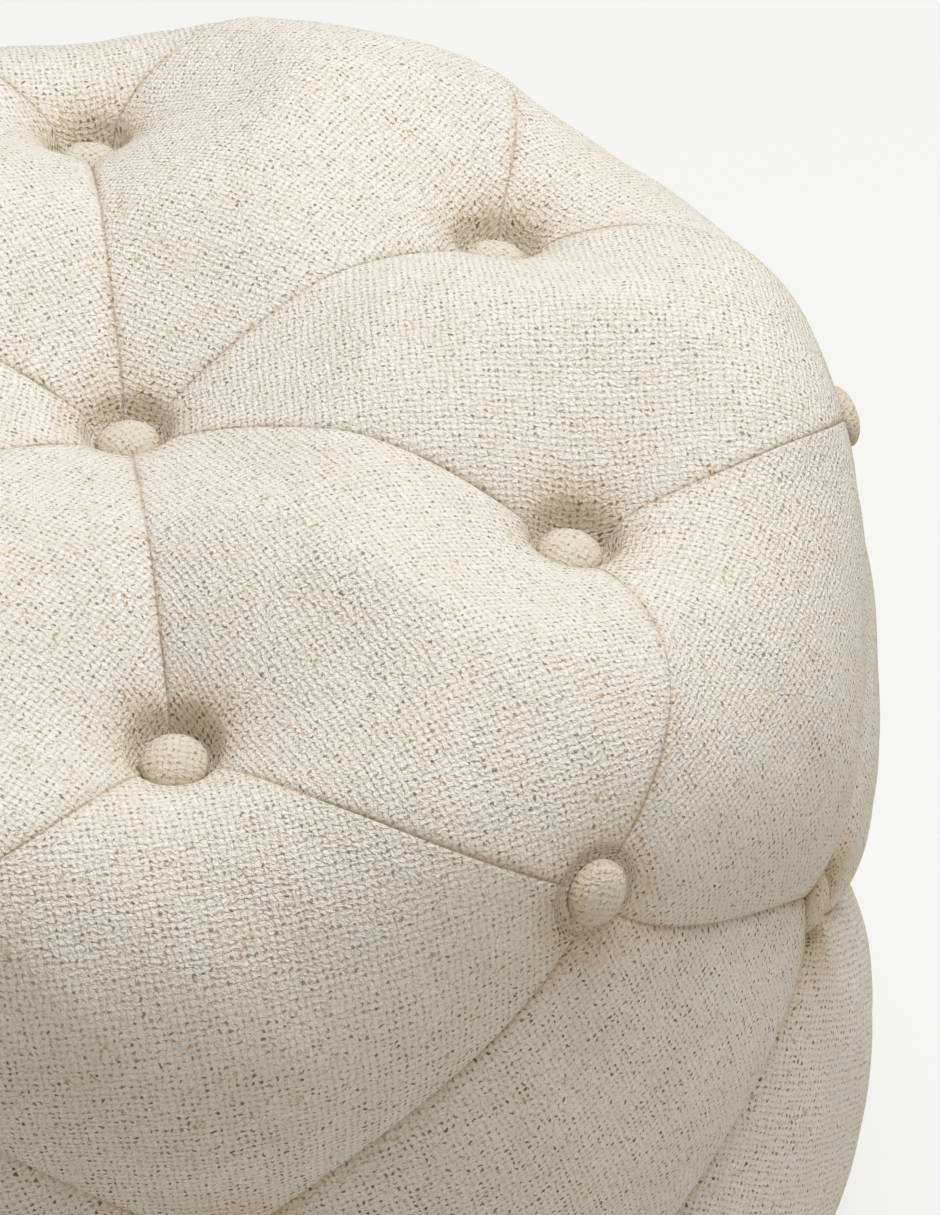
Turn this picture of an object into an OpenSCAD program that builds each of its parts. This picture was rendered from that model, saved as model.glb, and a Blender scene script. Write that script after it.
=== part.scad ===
// Round pouf with a deep-buttoned cover.
// The origin is on the floor under the centre button, +Z is up, and the front spoke points to -Y.

/* [Buttoning] */
// Pleats that run out from the centre button
spokes = 6; // [5:1:8]
// Height of the cover at the centre button
seat_z = 387; // [360:1:440]
// Radius of the first ring of buttons, on the seat
ring1_r = 181; // [170:0.5:190]
// Rise of the first ring above the centre button
ring1_rise = 3; // [0:0.5:5]
// Lean of the first ring's buttons from upright
ring1_lean = 8; // [0:1:12]
// How far the second ring of buttons, on the shoulder, stands in from those on the side
ring2_in = 3; // [0:0.5:10]
// Drop of the second ring below the centre button
ring2_drop = 18; // [15:0.5:30]
// Lean of the second ring's buttons from upright
ring2_lean = 72; // [65:1:80]
// Radius of the buttons on the side
side_r = 284; // [276:0.5:290]
// Drop of the third ring below the centre button
ring3_drop = 142; // [130:1:150]
// Drop of the fourth ring below the centre button
ring4_drop = 262; // [250:1:275]
// How far the hem stands out from the buttons on the side
hem_out = 6; // [2:0.5:9]

/* [Pillows] */
// Swell of the seat pillows over the surface stretched between their pleats, here drawn in
seat_crown = -18; // [-24:0.5:-8]
// Swell of the shoulder pillows
shoulder_crown = 8.5; // [4:0.5:16]
// Swell of the side pillows
side_crown = 12.5; // [4:0.5:16]
// Fullness of a pillow near its pleats, where less is fuller
fullness = 1; // [0.5:0.01:1.2]
// Height of the lip of cloth close round a button
lip_h = 10; // [6:0.5:12]
// Further height to which the cloth slopes up away from a button
dimple_rise = 54; // [50:1:70]
// Distance in which it slopes up
dimple_reach = 75; // [60:1:80]
// Room between a button and the foot of the pillows round it
button_room = 3; // [2.5:0.5:5]

/* [Cloth and filling] */
// Thickness of the cover cloth
cloth_t = 1.5; // [1:0.1:2.5]
// Least thickness of the fibre under a button
fill_min = 2.2; // [1.5:0.1:4]
// Thickness of the seat foam
seat_foam_t = 50; // [48:1:60]
// Thickness of the side foam
side_foam_t = 36; // [30:1:45]
// Radius of the foam's upper edge
foam_round = 48; // [44:1:48]

/* [Frame] */
// Thickness of the top board
top_board_t = 15; // [12:0.5:20]
// Thickness of the base board
base_board_t = 18; // [12:0.5:24]
// Height of the base board's underside above the floor
base_z = 10; // [8:0.5:16]
// Thickness of the bent drum wall
wall_t = 3; // [2:0.5:5]
// Width of a post
post_w = 40; // [30:1:50]
// Depth of a post
post_d = 32; // [25:1:40]
// Shank radius of a frame screw
screw_r = 2; // [1.5:0.1:3]
// Length of a frame screw
screw_len = 55; // [40:1:70]
// Head radius of a frame screw
screw_head_r = 4; // [3.5:0.1:5]
// Nails on each post
nails_per_post = 3; // [2:1:5]
// Shank radius of a nail
nail_r = 0.9; // [0.6:0.1:1.2]
// Length of a nail
nail_len = 22; // [16:1:28]

/* [Buttons] */
// Radius of a covered button
button_r = 12.5; // [11:0.25:14]
// Height of a button at its rim
button_rim = 2.5; // [2:0.1:3.5]
// Height of a button's dome above its rim
button_dome = 4.7; // [3.5:0.1:6]
// Thickness of a button's cloth
button_cloth_t = 1.2; // [0.8:0.1:1.5]
// Thickness of a button's metal shell
shell_t = 0.6; // [0.4:0.1:0.8]
// Radius of a button's shank
shank_r = 1.4; // [1:0.1:1.8]
// Length of a button's shank below the cloth
shank_len = 4; // [3.5:0.1:4.5]
// Radius of the twine
twine_r = 0.9; // [0.6:0.1:1.1]
// Radius of a twine toggle
toggle_r = 4; // [3:0.5:5]
// Length of a twine toggle
toggle_len = 24; // [18:1:30]
// How far from the edge of the top board the shoulder twines pass through it
shoulder_anchor_in = 37.4; // [30:0.2:47]

/* [Underside] */
// Thickness of the hem lining and of the dust cover
lining_t = 0.8; // [0.5:0.1:1]
// Width of the hem lining that lies under the base board
lining_w = 30; // [24:1:36]
// Overlap of the dust cover on the hem lining
dust_lap = 14; // [10:1:18]
// Staples round the hem lining
hem_staple_count = 36; // [24:6:48]
// Staples round the dust cover
dust_staple_count = 24; // [12:6:36]
// Width of a staple
staple_w = 10; // [8:0.5:12]
// Thickness of a staple's wire
staple_t = 0.7; // [0.5:0.1:0.9]
// Length of a staple's legs
staple_len = 8; // [6:0.5:10]
// Radius of a glide
glide_r = 20; // [16:0.5:24]
// How far the glides stand in from the edge of the base board
glide_in = 56; // [50:1:64]
// Rounding of a glide's lower edge
glide_edge = 2; // [1:0.5:3]
// Length of a glide screw
glide_screw_len = 20; // [16:1:22]

/* [Hidden] */
$fn = 96;

// Clearance between pieces that lie against each other
fit = 0.3;
// Clearance round a shank or twine in a hole
slip = 0.4;
// Clearance round a shank in the soft fibre, and depth of that hole, which its twine leaves at a slant
fibre_slip = 3.4;
fibre_hole_len = 16;
// Clearance round a screw, nail or staple in its hole
snug = 0.05;
// Slack of the fibre's flat facets over the round foam, and the share of a pillow's depth left free there
facet_slack = 1.2;
facet_share = 0.33;
// How far a cut runs past the face that it opens
past = 1;

step = 360 / spokes;
half = step / 2;
ring2_r = side_r - ring2_in;
hem_r = side_r + hem_out;

// The lip's slope, how softly the dimples blend into the pillows, and the distances over which they fade
lip_reach = 3.5;
dimple_blend = 2;
blend_growth = 0.07;
dimple_near = 60;
dimple_far = 100;

// Pleats leave and reach their buttons along these arms: outwards, round, upwards
radial_arms = [[63, 0, 41], [-71, 0, 53]];
shoulder_arms = [[13, 18, 29], [-7, -87, 70]];
side_arms = [[9, 25, -53], [11, -33, 45]];
hem_arms = [[18, 0, -30], [10, 0, 30]];

// Pillows swell away from an upright core of this radius and height
core_out = 29;
core_drop = 67;
core_r = ring1_r + core_out;
core_z = seat_z - core_drop;

hem_lift = 0.2;
hem_z = base_z + hem_lift;
side_room = 2.3;
foam_top = seat_z - cloth_t - fill_min - fit;
foam_r = side_r - cloth_t - fill_min - side_room;
foam_seat_z = foam_top - seat_foam_t;
board_top = foam_seat_z - fit;
board_low = board_top - top_board_t;
base_top = base_z + base_board_t;
nail_head_t = 1;
nail_head_r = 2.5;
wall_out = foam_r - side_foam_t - nail_head_t - fit;
wall_in = wall_out - wall_t;
top_board_r = wall_in - fit;
base_board_r = foam_r;
shoulder_anchor_r = top_board_r - shoulder_anchor_in;
glide_ring_r = base_board_r - glide_in;
hole_r = shank_r + slip;
fibre_hole_r = shank_r + fibre_slip;
hole_turn = 20;
well_r = button_r + button_room;
knot_r = 2.2;
button_foot = 0.2;
back_inset = 2;
back_r = button_r - button_cloth_t - back_inset;
dome_r = (button_r * button_r + button_dome * button_dome) / (2 * button_dome);
staple_leg = staple_w / 2 - staple_t / 2;
lining_in = base_board_r - lining_w;
hem_tuck = 0.5;
hem_staple_in = 8;
hem_staple_r = base_board_r - hem_staple_in;
dust_r = lining_in + dust_lap;
dust_join = 2;
dust_staple_r = lining_in + dust_lap / 2;
glide_h = base_z - lining_t;
glide_recess = 1.5;
glide_head_t = 2.5;
head_room = 1;

// Grid lines of a pillow, closer together near its pleats
grid_n = 6;
border_lines = [0, 0.06, 0.35, 0.7, 1];
function spread(i, n) = 0.5 - 0.5 * cos(180 * i / n);

// Buttons: place, outward direction and azimuths of each ring, 0 is the centre button
function ring_radius(k) = [0, ring1_r, ring2_r, side_r, side_r][k];
function ring_height(k) = seat_z + [0, ring1_rise, -ring2_drop, -ring3_drop, -ring4_drop][k];
function ring_lean(k) = [0, ring1_lean, ring2_lean, 90, 90][k];
function ring_azimuths(k) = k == 0 ? [0] : [for (i = [0:spokes - 1]) i * step - (k % 2) * half];
function polar(r, az, z) = [r * cos(az), r * sin(az), z];
function seat_of(k, az) = polar(ring_radius(k), az, ring_height(k));
function facing(k, az) = polar(sin(ring_lean(k)), az, cos(ring_lean(k)));

// Points of a pleat from ring k to the next ring, or from the fourth ring to the hem
function arms(k) = [radial_arms, shoulder_arms, side_arms, side_arms, hem_arms][k];
function arm(az, side, h) =
    [h[0] * cos(az) - side * h[1] * sin(az), h[0] * sin(az) + side * h[1] * cos(az), h[2]];
function curve(a, b, c, d, t) = pow(1 - t, 3) * a + 3 * pow(1 - t, 2) * t * b + 3 * (1 - t) * t * t * c
    + pow(t, 3) * d;
function pleat_end(k, az) = k == 4 ? polar(hem_r, az, hem_z) : seat_of(k + 1, az);
function pleat(k, az, side, t) =
    let (from = seat_of(k, az))
    let (turn = k == 0 || k == 4 ? 0 : side * half)
    let (to = pleat_end(k, az + turn))
    curve(from, from + arm(az, side, arms(k)[0]), to + arm(az + turn, side, arms(k)[1]), to, t);

// Outward direction at p from an upright core of radius cr and height cz
function outward(p, cr, cz) =
    let (r = norm([p[0], p[1]]))
    let (e = max(r - cr, 0))
    let (h = max(p[2] - cz, 0))
    let (v = [e * p[0] / max(r, 1), e * p[1] / max(r, 1), h])
    v / max(norm(v), 0.001);

// A surface stretched between four edges: a and b run along u, c and d along v
function stretched(a, b, c, d, a0, a1, b0, b1, u, v) = (1 - v) * a + v * b + (1 - u) * c + u * d
    - (1 - u) * (1 - v) * a0 - u * (1 - v) * a1 - (1 - u) * v * b0 - u * v * b1;
function swell(u, v) = pow(max(16 * u * (1 - u) * v * (1 - v), 0), fullness);
function crown(k) = [seat_crown, shoulder_crown, side_crown, side_crown][k];

// A diamond pillow hangs from a button of ring k, between two of the next ring and one of the ring after
function diamond(k, az, u, v) =
    let (low = seat_of(k + 2, az))
    let (right = seat_of(k + 1, az + half))
    let (left = seat_of(k + 1, az - half))
    let (top = seat_of(k, az))
    let (a = k == 0 ? pleat(0, az + half, 1, u) : pleat(k, az, 1, u))
    let (c = k == 0 ? pleat(0, az - half, 1, v) : pleat(k, az, -1, v))
    stretched(a, pleat(k + 1, az - half, 1, u), c, pleat(k + 1, az + half, -1, v), top, right, left, low, u, v);

// A lower pillow hangs from a third ring button, between two fourth ring buttons and the hem
function apron(az, u, v) =
    let (x = 2 * u - 1)
    let (a = x < 0 ? pleat(3, az, -1, -x) : pleat(3, az, 1, x))
    let (b = polar(hem_r, az + half * x, hem_z))
    stretched(a, b, pleat(4, az - half, 1, v), pleat(4, az + half, 1, v), seat_of(4, az - half),
        seat_of(4, az + half), polar(hem_r, az - half, hem_z), polar(hem_r, az + half, hem_z), u, v);

function pillow(k, az, u, v) = k < 3 ? diamond(k, az, u, v) : apron(az, u, v);

// The button at the corner cu, cv of a pillow
function button_at(k, az, cu, cv) = k < 3 ? [k + cu + cv, az + (cu - cv) * half]
    : cu == 0.5 ? [3, az] : [4, az + (2 * cu - 1) * half];

// Direction in a button's own plane to the nearby point q
function way(q, seat, n) =
    let (d = q - seat)
    let (w = d - (d * n) * n)
    w / max(norm(w), 0.001);

// A point at the edge of the flat place under a button, a grid line or two from its corner
probe = 0.02;
function foot_point(k, az, cu, cv, u, v) =
    let (button = button_at(k, az, cu, cv))
    let (seat = seat_of(button[0], button[1]))
    let (n = facing(button[0], button[1]))
    let (a = sign(u - cu))
    let (b = sign(v - cv))
    let (side = k < 3 ? probe : probe / 2)
    let (along = abs(a) * way(pillow(k, az, cu + a * side, cv), seat, n))
    let (down = abs(b) * way(pillow(k, az, cu, cv + b * probe), seat, n))
    seat + (a == 0 && b == 0 ? 0 : well_r / norm(along + down)) * (along + down);

// How far a button draws down a point that stands h above its plane and rho from its axis
function drawn_down(h, rho) =
    let (x = max(rho - button_r, 0))
    let (dimple = lip_h * (1 - exp(-x / lip_reach)) + dimple_rise * (1 - exp(-x / dimple_reach)))
    let (blend = dimple_blend + blend_growth * x)
    let (excess = (h - dimple) / blend)
    let (fade = min(max((dimple_far - rho) / (dimple_far - dimple_near), 0), 1))
    blend * (max(excess, 0) + ln(1 + exp(-abs(excess)))) * fade * fade * (3 - 2 * fade);

// The buttons round a pillow, and how all of them draw in a point p of it
function buttons_round(k, az) = k < 3 ? [[k, az], [k + 1, az + half], [k + 1, az - half], [k + 2, az]]
    : [[3, az], [4, az + half], [4, az - half]];
function drawn_in(buttons, p, i = 0) = i == len(buttons) ? [0, 0, 0]
    : let (n = facing(buttons[i][0], buttons[i][1]))
    let (d = p - seat_of(buttons[i][0], buttons[i][1]))
    let (h = d * n)
    drawn_down(h, norm(d - h * n)) * n + drawn_in(buttons, p, i + 1);

function swollen(k, az, flat, u, v) =
    let (p = flat + crown(k) * swell(u, v) * outward(flat, core_r, core_z))
    p - drawn_in(buttons_round(k, az), p);
function cover_point(k, az, u, v, cu, cv) = cu >= 0 && cv >= 0 ? foot_point(k, az, cu, cv, u, v)
    : swollen(k, az, pillow(k, az, u, v), u, v);

// A point of the cover drawn inwards by t, and the point of the foam's face that lies under it
function sunk(p, t) = p - t * outward(p, core_r, core_z);
function on_foam(p) =
    let (r = foam_r - foam_round)
    let (z = foam_top - foam_round)
    let (q = min(norm([p[0], p[1]]), r) / max(norm([p[0], p[1]]), 1))
    let (core = [p[0] * q, p[1] * q, min(p[2], z)])
    let (depth = norm(p - core) - foam_round)
    core + (foam_round + fit + facet_slack + facet_share * depth) * outward(p, r, z);

// Where a grid line lies along its side, and the corner that it is next to, or -1
function columns(k) = k < 3 ? grid_n : 2 * grid_n;
function rows(k) = k < 3 ? grid_n : len(border_lines) - 1;
function column_at(k, i) = k < 3 ? spread(i, grid_n)
    : (1 + spread(abs(i - grid_n), grid_n) * sign(i - grid_n)) / 2;
function row_at(k, j) = k < 3 ? spread(j, grid_n) : border_lines[j];
function column_corner(k, i) = i < 2 ? 0 : i > columns(k) - 2 ? 1 : k == 3 && abs(i - grid_n) < 2 ? 0.5 : -1;
function row_corner(k, j) = j < 2 ? 0 : k < 3 && j > rows(k) - 2 ? 1 : -1;
function panel_points(k, az) = [for (i = [0:columns(k)]) for (j = [0:rows(k)])
    cover_point(k, az, column_at(k, i), row_at(k, j), column_corner(k, i), row_corner(k, j))];

// Triangles of a grid of points that starts at index s, seen from outside or from inside. Each square
// is cut across the line from the nearest button
function grid_faces(s, k, inside) = [for (i = [0:columns(k) - 1]) for (j = [0:rows(k) - 1]) for (h = [0, 1])
    let (a = s + i * (rows(k) + 1) + j)
    let (b = a + rows(k) + 1)
    let (near = (i % grid_n < grid_n / 2) == (j < rows(k) / 2))
    let (f = near ? (h == 0 ? [a, b, a + 1] : [b, b + 1, a + 1]) : (h == 0 ? [a, b, b + 1] : [a, b + 1, a + 1]))
    inside ? [f[2], f[1], f[0]] : f];

// Triangles that close the edge between outer points e and the matching inner points. The quads are
// cut from e[i] to the next inner point, or the other way where crossed
function rim_faces(e, shift, turned, crossed = false) = [for (i = [0:len(e) - 2]) for (h = [0, 1])
    let (a = e[i])
    let (b = e[i + 1])
    let (f = crossed ? (h == 0 ? [a, b, a + shift] : [b, b + shift, a + shift])
        : (h == 0 ? [a, b, b + shift] : [a, b + shift, a + shift]))
    turned ? [f[2], f[1], f[0]] : f];
function first_half(e) = [for (i = [0:grid_n]) e[i]];
function second_half(e) = [for (i = [grid_n:2 * grid_n]) e[i]];

// Indices along a panel's edge: across it at row j, or down it at column i
function edge_across(s, k, j) = [for (i = [0:columns(k)]) s + i * (rows(k) + 1) + j];
function edge_down(s, k, i) = [for (j = [0:rows(k)]) s + i * (rows(k) + 1) + j];

function panel_list(rings) = [for (k = rings) for (az = ring_azimuths(k == 0 ? 2 : k)) [k, az]];
function panel_size(k) = (columns(k) + 1) * (rows(k) + 1);
function starts(list, i = 0, s = 0) = i == len(list) ? []
    : concat([s], starts(list, i + 1, s + panel_size(list[i][0])));

// Edges of a layer that meet the next piece above, and the next piece below or the hem
function upper_rim(s, k, count) = let (e = edge_across(s, k, 0))
    k < 3 ? concat(rim_faces(e, count, true), rim_faces(edge_down(s, k, 0), count, false))
    : concat(rim_faces(first_half(e), count, true, true), rim_faces(second_half(e), count, true));
function lower_rim(s, k, count) = concat(rim_faces(edge_across(s, k, rows(k)), count, false),
    k < 3 ? rim_faces(edge_down(s, k, grid_n), count, true) : []);

// A layer of the pillows that hang from the named rings: the cloth, or the fibre between it and the foam
module quilted_layer(rings, fibre) {
    list = panel_list(rings);
    s = starts(list);
    face = [for (p = list) each panel_points(p[0], p[1])];
    outer = [for (p = face) fibre ? sunk(p, cloth_t + fit) : p];
    inner = [for (p = face) fibre ? on_foam(p) : sunk(p, cloth_t)];
    count = len(face);
    first = rings[0];
    last = rings[len(rings) - 1];
    faces = [for (i = [0:len(list) - 1])
        let (k = list[i][0])
        each concat(
            grid_faces(s[i], k, false),
            grid_faces(s[i] + count, k, true),
            k == first && k > 0 ? upper_rim(s[i], k, count) : [],
            k == last ? lower_rim(s[i], k, count) : [])];
    polyhedron(points = concat(outer, inner), faces = faces, convexity = 10);
}

// Places its children at each button, with +Z outwards
module at_buttons(rings) {
    for (k = rings)
        for (az = ring_azimuths(k))
            translate(seat_of(k, az))
                rotate([0, ring_lean(k), az])
                    children();
}

// Places its children at p with +Z towards q
module towards(p, q) {
    d = q - p;
    translate(p)
        rotate([0, acos(d[2] / norm(d)), atan2(d[1], d[0])])
            children();
}

function shank_end(k, az) = seat_of(k, az) - (shank_len + fit) * facing(k, az);
wall_toggle_r = sqrt(pow(wall_in - snug, 2) - pow(toggle_len / 2, 2)) - toggle_r;
function toggle_at(k, az) = k < 2 ? polar(ring_radius(k), az, board_low - toggle_r - snug)
    : k == 2 ? polar(shoulder_anchor_r, az, board_low - toggle_r - snug)
    : polar(wall_toggle_r, az, ring_height(k));

// Length of a twine from the shank to the middle of its knot, which lies against the toggle
function twine_len(k, az) = norm(toggle_at(k, az) - shank_end(k, az)) + toggle_r + knot_r;

// A straight round solid along each twine, of the radius that is asked for
module twine_lines(rings, r) {
    for (k = rings)
        for (az = ring_azimuths(k))
            towards(shank_end(k, az), toggle_at(k, az))
                cylinder(r = r, h = twine_len(k, az), $fn = 24);
}

// A hole under the middle of each button, turned a little so that its seam lies in no pleat
module shank_holes(rings, r, depth = shank_len + past) {
    at_buttons(rings)
        translate([0, 0, -depth])
            rotate([0, 0, hole_turn])
                cylinder(r = r, h = depth + past, $fn = 24);
}

module seat_cover() {
    color("ivory")
        difference() {
            quilted_layer([0], false);
            shank_holes([0, 1, 2], hole_r);
        }
}

module side_cover() {
    color("linen")
        difference() {
            quilted_layer([1, 2], false);
            shank_holes([1, 2, 3, 4], hole_r);
        }
}

module border_cover() {
    color("oldlace")
        difference() {
            quilted_layer([3], false);
            shank_holes([3, 4], hole_r);
        }
}

module seat_fill() {
    color("white")
        difference() {
            quilted_layer([0], true);
            shank_holes([0, 1, 2], fibre_hole_r, fibre_hole_len);
        }
}

module side_fill() {
    color("white")
        difference() {
            quilted_layer([1, 2], true);
            shank_holes([1, 2, 3, 4], fibre_hole_r, fibre_hole_len);
        }
}

module border_fill() {
    color("white")
        difference() {
            quilted_layer([3], true);
            shank_holes([3, 4], fibre_hole_r, fibre_hole_len);
        }
}

module seat_foam() {
    color("khaki")
        difference() {
            rotate_extrude()
                intersection() {
                    union() {
                        square([foam_r, foam_top - foam_round]);
                        square([foam_r - foam_round, foam_top]);
                        translate([foam_r - foam_round, foam_top - foam_round])
                            circle(r = foam_round);
                    }
                    translate([0, foam_seat_z])
                        square([foam_r, seat_foam_t]);
                }
            twine_lines([0, 1, 2], hole_r);
            shank_holes([0, 1, 2], hole_r);
        }
}

module side_foam() {
    color("palegoldenrod")
        difference() {
            translate([0, 0, base_top + fit])
                cylinder(r = foam_r, h = board_top - base_top - fit);
            cylinder(r = wall_out + nail_head_t + fit, h = foam_top);
            twine_lines([2, 3, 4], hole_r);
            shank_holes([3, 4], hole_r);
        }
}

// A countersunk screw with its point at +Z
module csk_screw(len, r, head_r, grow = 0) {
    cylinder(r = r + grow, h = len + grow, $fn = 24);
    cylinder(r1 = head_r + grow, r2 = r + grow, h = head_r - r, $fn = 24);
}

module frame_screw_set(grow = 0) {
    for (i = [0:spokes - 1])
        rotate(half / 2 + i * step)
            translate([wall_in - post_d / 2, 0, 0]) {
                translate([0, 0, base_z])
                    csk_screw(screw_len, screw_r, screw_head_r, grow);
                translate([0, 0, board_top])
                    mirror([0, 0, 1])
                        csk_screw(screw_len, screw_r, screw_head_r, grow);
            }
}

module top_board() {
    color("burlywood")
        difference() {
            translate([0, 0, board_low])
                cylinder(r = top_board_r, h = top_board_t);
            frame_screw_set(snug);
            twine_lines([0, 1, 2], hole_r);
        }
}

module staple_slots(count, r, grow, z) {
    for (i = [0:count - 1])
        rotate((i + 0.5) * 360 / count)
            for (y = [-staple_leg, staple_leg])
                translate([r - staple_t / 2 - grow, y - staple_t / 2 - grow, z])
                    cube([staple_t + 2 * grow, staple_t + 2 * grow, staple_len + grow]);
}

module staples(count, r, z) {
    staple_slots(count, r, 0, z - staple_t);
    for (i = [0:count - 1])
        rotate((i + 0.5) * 360 / count)
            translate([r - staple_t / 2, -staple_w / 2, z - staple_t])
                cube([staple_t, staple_w, staple_t]);
}

module glide_places() {
    for (i = [0:spokes - 1])
        rotate(half * 1.5 + i * step)
            translate([glide_ring_r, 0, 0])
                children();
}

module glide_screw(grow = 0) {
    translate([0, 0, glide_recess]) {
        cylinder(r = screw_head_r + grow, h = glide_head_t, $fn = 24);
        cylinder(r = screw_r + grow, h = glide_screw_len + grow, $fn = 24);
    }
}

module base_board() {
    color("tan")
        difference() {
            translate([0, 0, base_z])
                cylinder(r = base_board_r, h = base_board_t);
            frame_screw_set(snug);
            glide_places() glide_screw(snug);
            staple_slots(hem_staple_count, hem_staple_r, snug, base_z - lining_t);
            staple_slots(dust_staple_count, dust_staple_r, snug, base_z - 2 * lining_t);
        }
}

module posts() {
    color("wheat")
        difference() {
            intersection() {
                for (i = [0:spokes - 1])
                    rotate(half / 2 + i * step)
                        translate([wall_in - post_d, -post_w / 2, base_top])
                            cube([post_d + wall_t, post_w, board_low - base_top]);
                cylinder(r = wall_in - snug, h = seat_z);
            }
            frame_screw_set(snug);
            wall_nail_set(snug);
        }
}

module wall_nail_set(grow = 0) {
    for (i = [0:spokes - 1])
        for (j = [0:nails_per_post - 1])
            rotate(half / 2 + i * step)
                translate([wall_out, 0, base_top + (board_low - base_top) * (j + 0.5) / nails_per_post])
                    rotate([0, -90, 0]) {
                        cylinder(r = nail_r + grow, h = nail_len + grow, $fn = 24);
                        translate([0, 0, -nail_head_t])
                            cylinder(r = nail_head_r, h = nail_head_t, $fn = 24);
                    }
}

module drum_wall() {
    color("peru")
        difference() {
            translate([0, 0, base_top])
                cylinder(r = wall_out, h = board_top - base_top);
            cylinder(r = wall_in, h = foam_top);
            wall_nail_set(snug);
            twine_lines([3, 4], hole_r);
        }
}

module frame_screws() {
    color("silver")
        frame_screw_set();
}

module wall_nails() {
    color("gray")
        wall_nail_set();
}

// A domed slug of radius r whose underside is at z, under a dome that lies d below the button's own
module dome_slug(r, z, d) {
    intersection() {
        translate([0, 0, button_rim + button_dome - dome_r])
            sphere(r = dome_r - d);
        translate([0, 0, z])
            cylinder(r = r, h = button_rim + button_dome);
    }
}

module button_cloths() {
    color("antiquewhite")
        at_buttons([0, 1, 2, 3, 4])
            difference() {
                dome_slug(button_r, button_foot, 0);
                dome_slug(button_r - button_cloth_t, button_foot + button_cloth_t, button_cloth_t);
                cylinder(r = back_r + snug, h = button_rim);
            }
}

module button_shells() {
    inset = button_cloth_t + snug;
    color("lightgray")
        at_buttons([0, 1, 2, 3, 4])
            difference() {
                dome_slug(button_r - inset, button_foot + inset, inset);
                dome_slug(button_r - inset - shell_t, 0, inset + shell_t);
            }
}

module button_backs() {
    color("darkgray")
        at_buttons([0, 1, 2, 3, 4]) {
            translate([0, 0, button_foot])
                cylinder(r = back_r, h = button_cloth_t);
            translate([0, 0, -shank_len])
                cylinder(r = shank_r, h = shank_len + button_foot + button_cloth_t);
        }
}

module button_twine() {
    color("beige") {
        twine_lines([0, 1, 2, 3, 4], twine_r);
        for (k = [0:4])
            for (az = ring_azimuths(k))
                towards(shank_end(k, az), toggle_at(k, az))
                    translate([0, 0, twine_len(k, az)])
                        sphere(r = knot_r, $fn = 24);
    }
}

module twine_toggles() {
    color("dimgray")
        difference() {
            for (k = [0:4])
                for (az = ring_azimuths(k))
                    translate(toggle_at(k, az))
                        rotate([0, 0, az])
                            rotate([90, 0, 0])
                                cylinder(r = toggle_r, h = toggle_len, center = true, $fn = 32);
            twine_lines([0, 1, 2, 3, 4], twine_r + slip / 2);
        }
}

module hem_lining() {
    color("gray")
        difference() {
            translate([0, 0, base_z - lining_t])
                cylinder(r = hem_r - hem_tuck, h = lining_t);
            translate([0, 0, base_z - lining_t - past])
                cylinder(r = lining_in, h = lining_t + 2 * past);
            staple_slots(hem_staple_count, hem_staple_r, snug, base_z - lining_t - past);
            staple_slots(dust_staple_count, dust_staple_r, snug, base_z - 2 * lining_t);
        }
}

module hem_staples() {
    color("silver")
        staples(hem_staple_count, hem_staple_r, base_z - lining_t);
}

module dust_cover() {
    color("black")
        difference() {
            union() {
                translate([0, 0, base_z - lining_t])
                    cylinder(r = lining_in - fit, h = lining_t);
                difference() {
                    translate([0, 0, base_z - 2 * lining_t])
                        cylinder(r = dust_r, h = lining_t);
                    translate([0, 0, base_z - 2 * lining_t - past])
                        cylinder(r = lining_in - dust_join, h = lining_t + past);
                }
            }
            glide_places() glide_screw(snug);
            staple_slots(dust_staple_count, dust_staple_r, snug, base_z - 2 * lining_t - past);
        }
}

module dust_cover_staples() {
    color("silver")
        staples(dust_staple_count, dust_staple_r, base_z - 2 * lining_t);
}

module glides() {
    color("black")
        difference() {
            glide_places() {
                translate([0, 0, glide_edge])
                    cylinder(r = glide_r, h = glide_h - glide_edge);
                cylinder(r1 = glide_r - glide_edge, r2 = glide_r, h = glide_edge);
            }
            glide_places() {
                glide_screw(snug);
                translate([0, 0, -past])
                    cylinder(r = screw_head_r + head_room, h = glide_recess + past);
            }
        }
}

module glide_screws() {
    color("silver")
        glide_places() glide_screw();
}

seat_cover();
side_cover();
border_cover();
seat_fill();
side_fill();
border_fill();
seat_foam();
side_foam();
top_board();
base_board();
posts();
drum_wall();
frame_screws();
wall_nails();
button_cloths();
button_shells();
button_backs();
button_twine();
twine_toggles();
hem_lining();
hem_staples();
dust_cover();
dust_cover_staples();
glides();
glide_screws();
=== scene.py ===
"""Looks of a round, deep-buttoned pouf bench in cream plain-weave cloth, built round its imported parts."""
import math

import bpy
import numpy as np
from mathutils import Matrix, Vector


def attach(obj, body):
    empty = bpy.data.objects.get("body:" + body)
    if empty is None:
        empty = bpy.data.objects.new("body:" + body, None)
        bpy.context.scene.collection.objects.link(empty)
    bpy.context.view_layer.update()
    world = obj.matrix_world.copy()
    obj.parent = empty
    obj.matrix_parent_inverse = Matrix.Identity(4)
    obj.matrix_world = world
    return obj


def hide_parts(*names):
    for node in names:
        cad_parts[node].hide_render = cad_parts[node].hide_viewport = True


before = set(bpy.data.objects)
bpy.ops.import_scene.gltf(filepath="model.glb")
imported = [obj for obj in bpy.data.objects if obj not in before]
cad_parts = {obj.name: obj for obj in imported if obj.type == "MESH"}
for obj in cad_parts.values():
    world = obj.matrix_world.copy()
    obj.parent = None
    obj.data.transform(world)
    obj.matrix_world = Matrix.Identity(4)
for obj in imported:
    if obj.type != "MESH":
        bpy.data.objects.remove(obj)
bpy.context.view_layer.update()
rng = np.random.default_rng(11)

MM = 0.001
WIDE, TALL = 940, 1215

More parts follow.
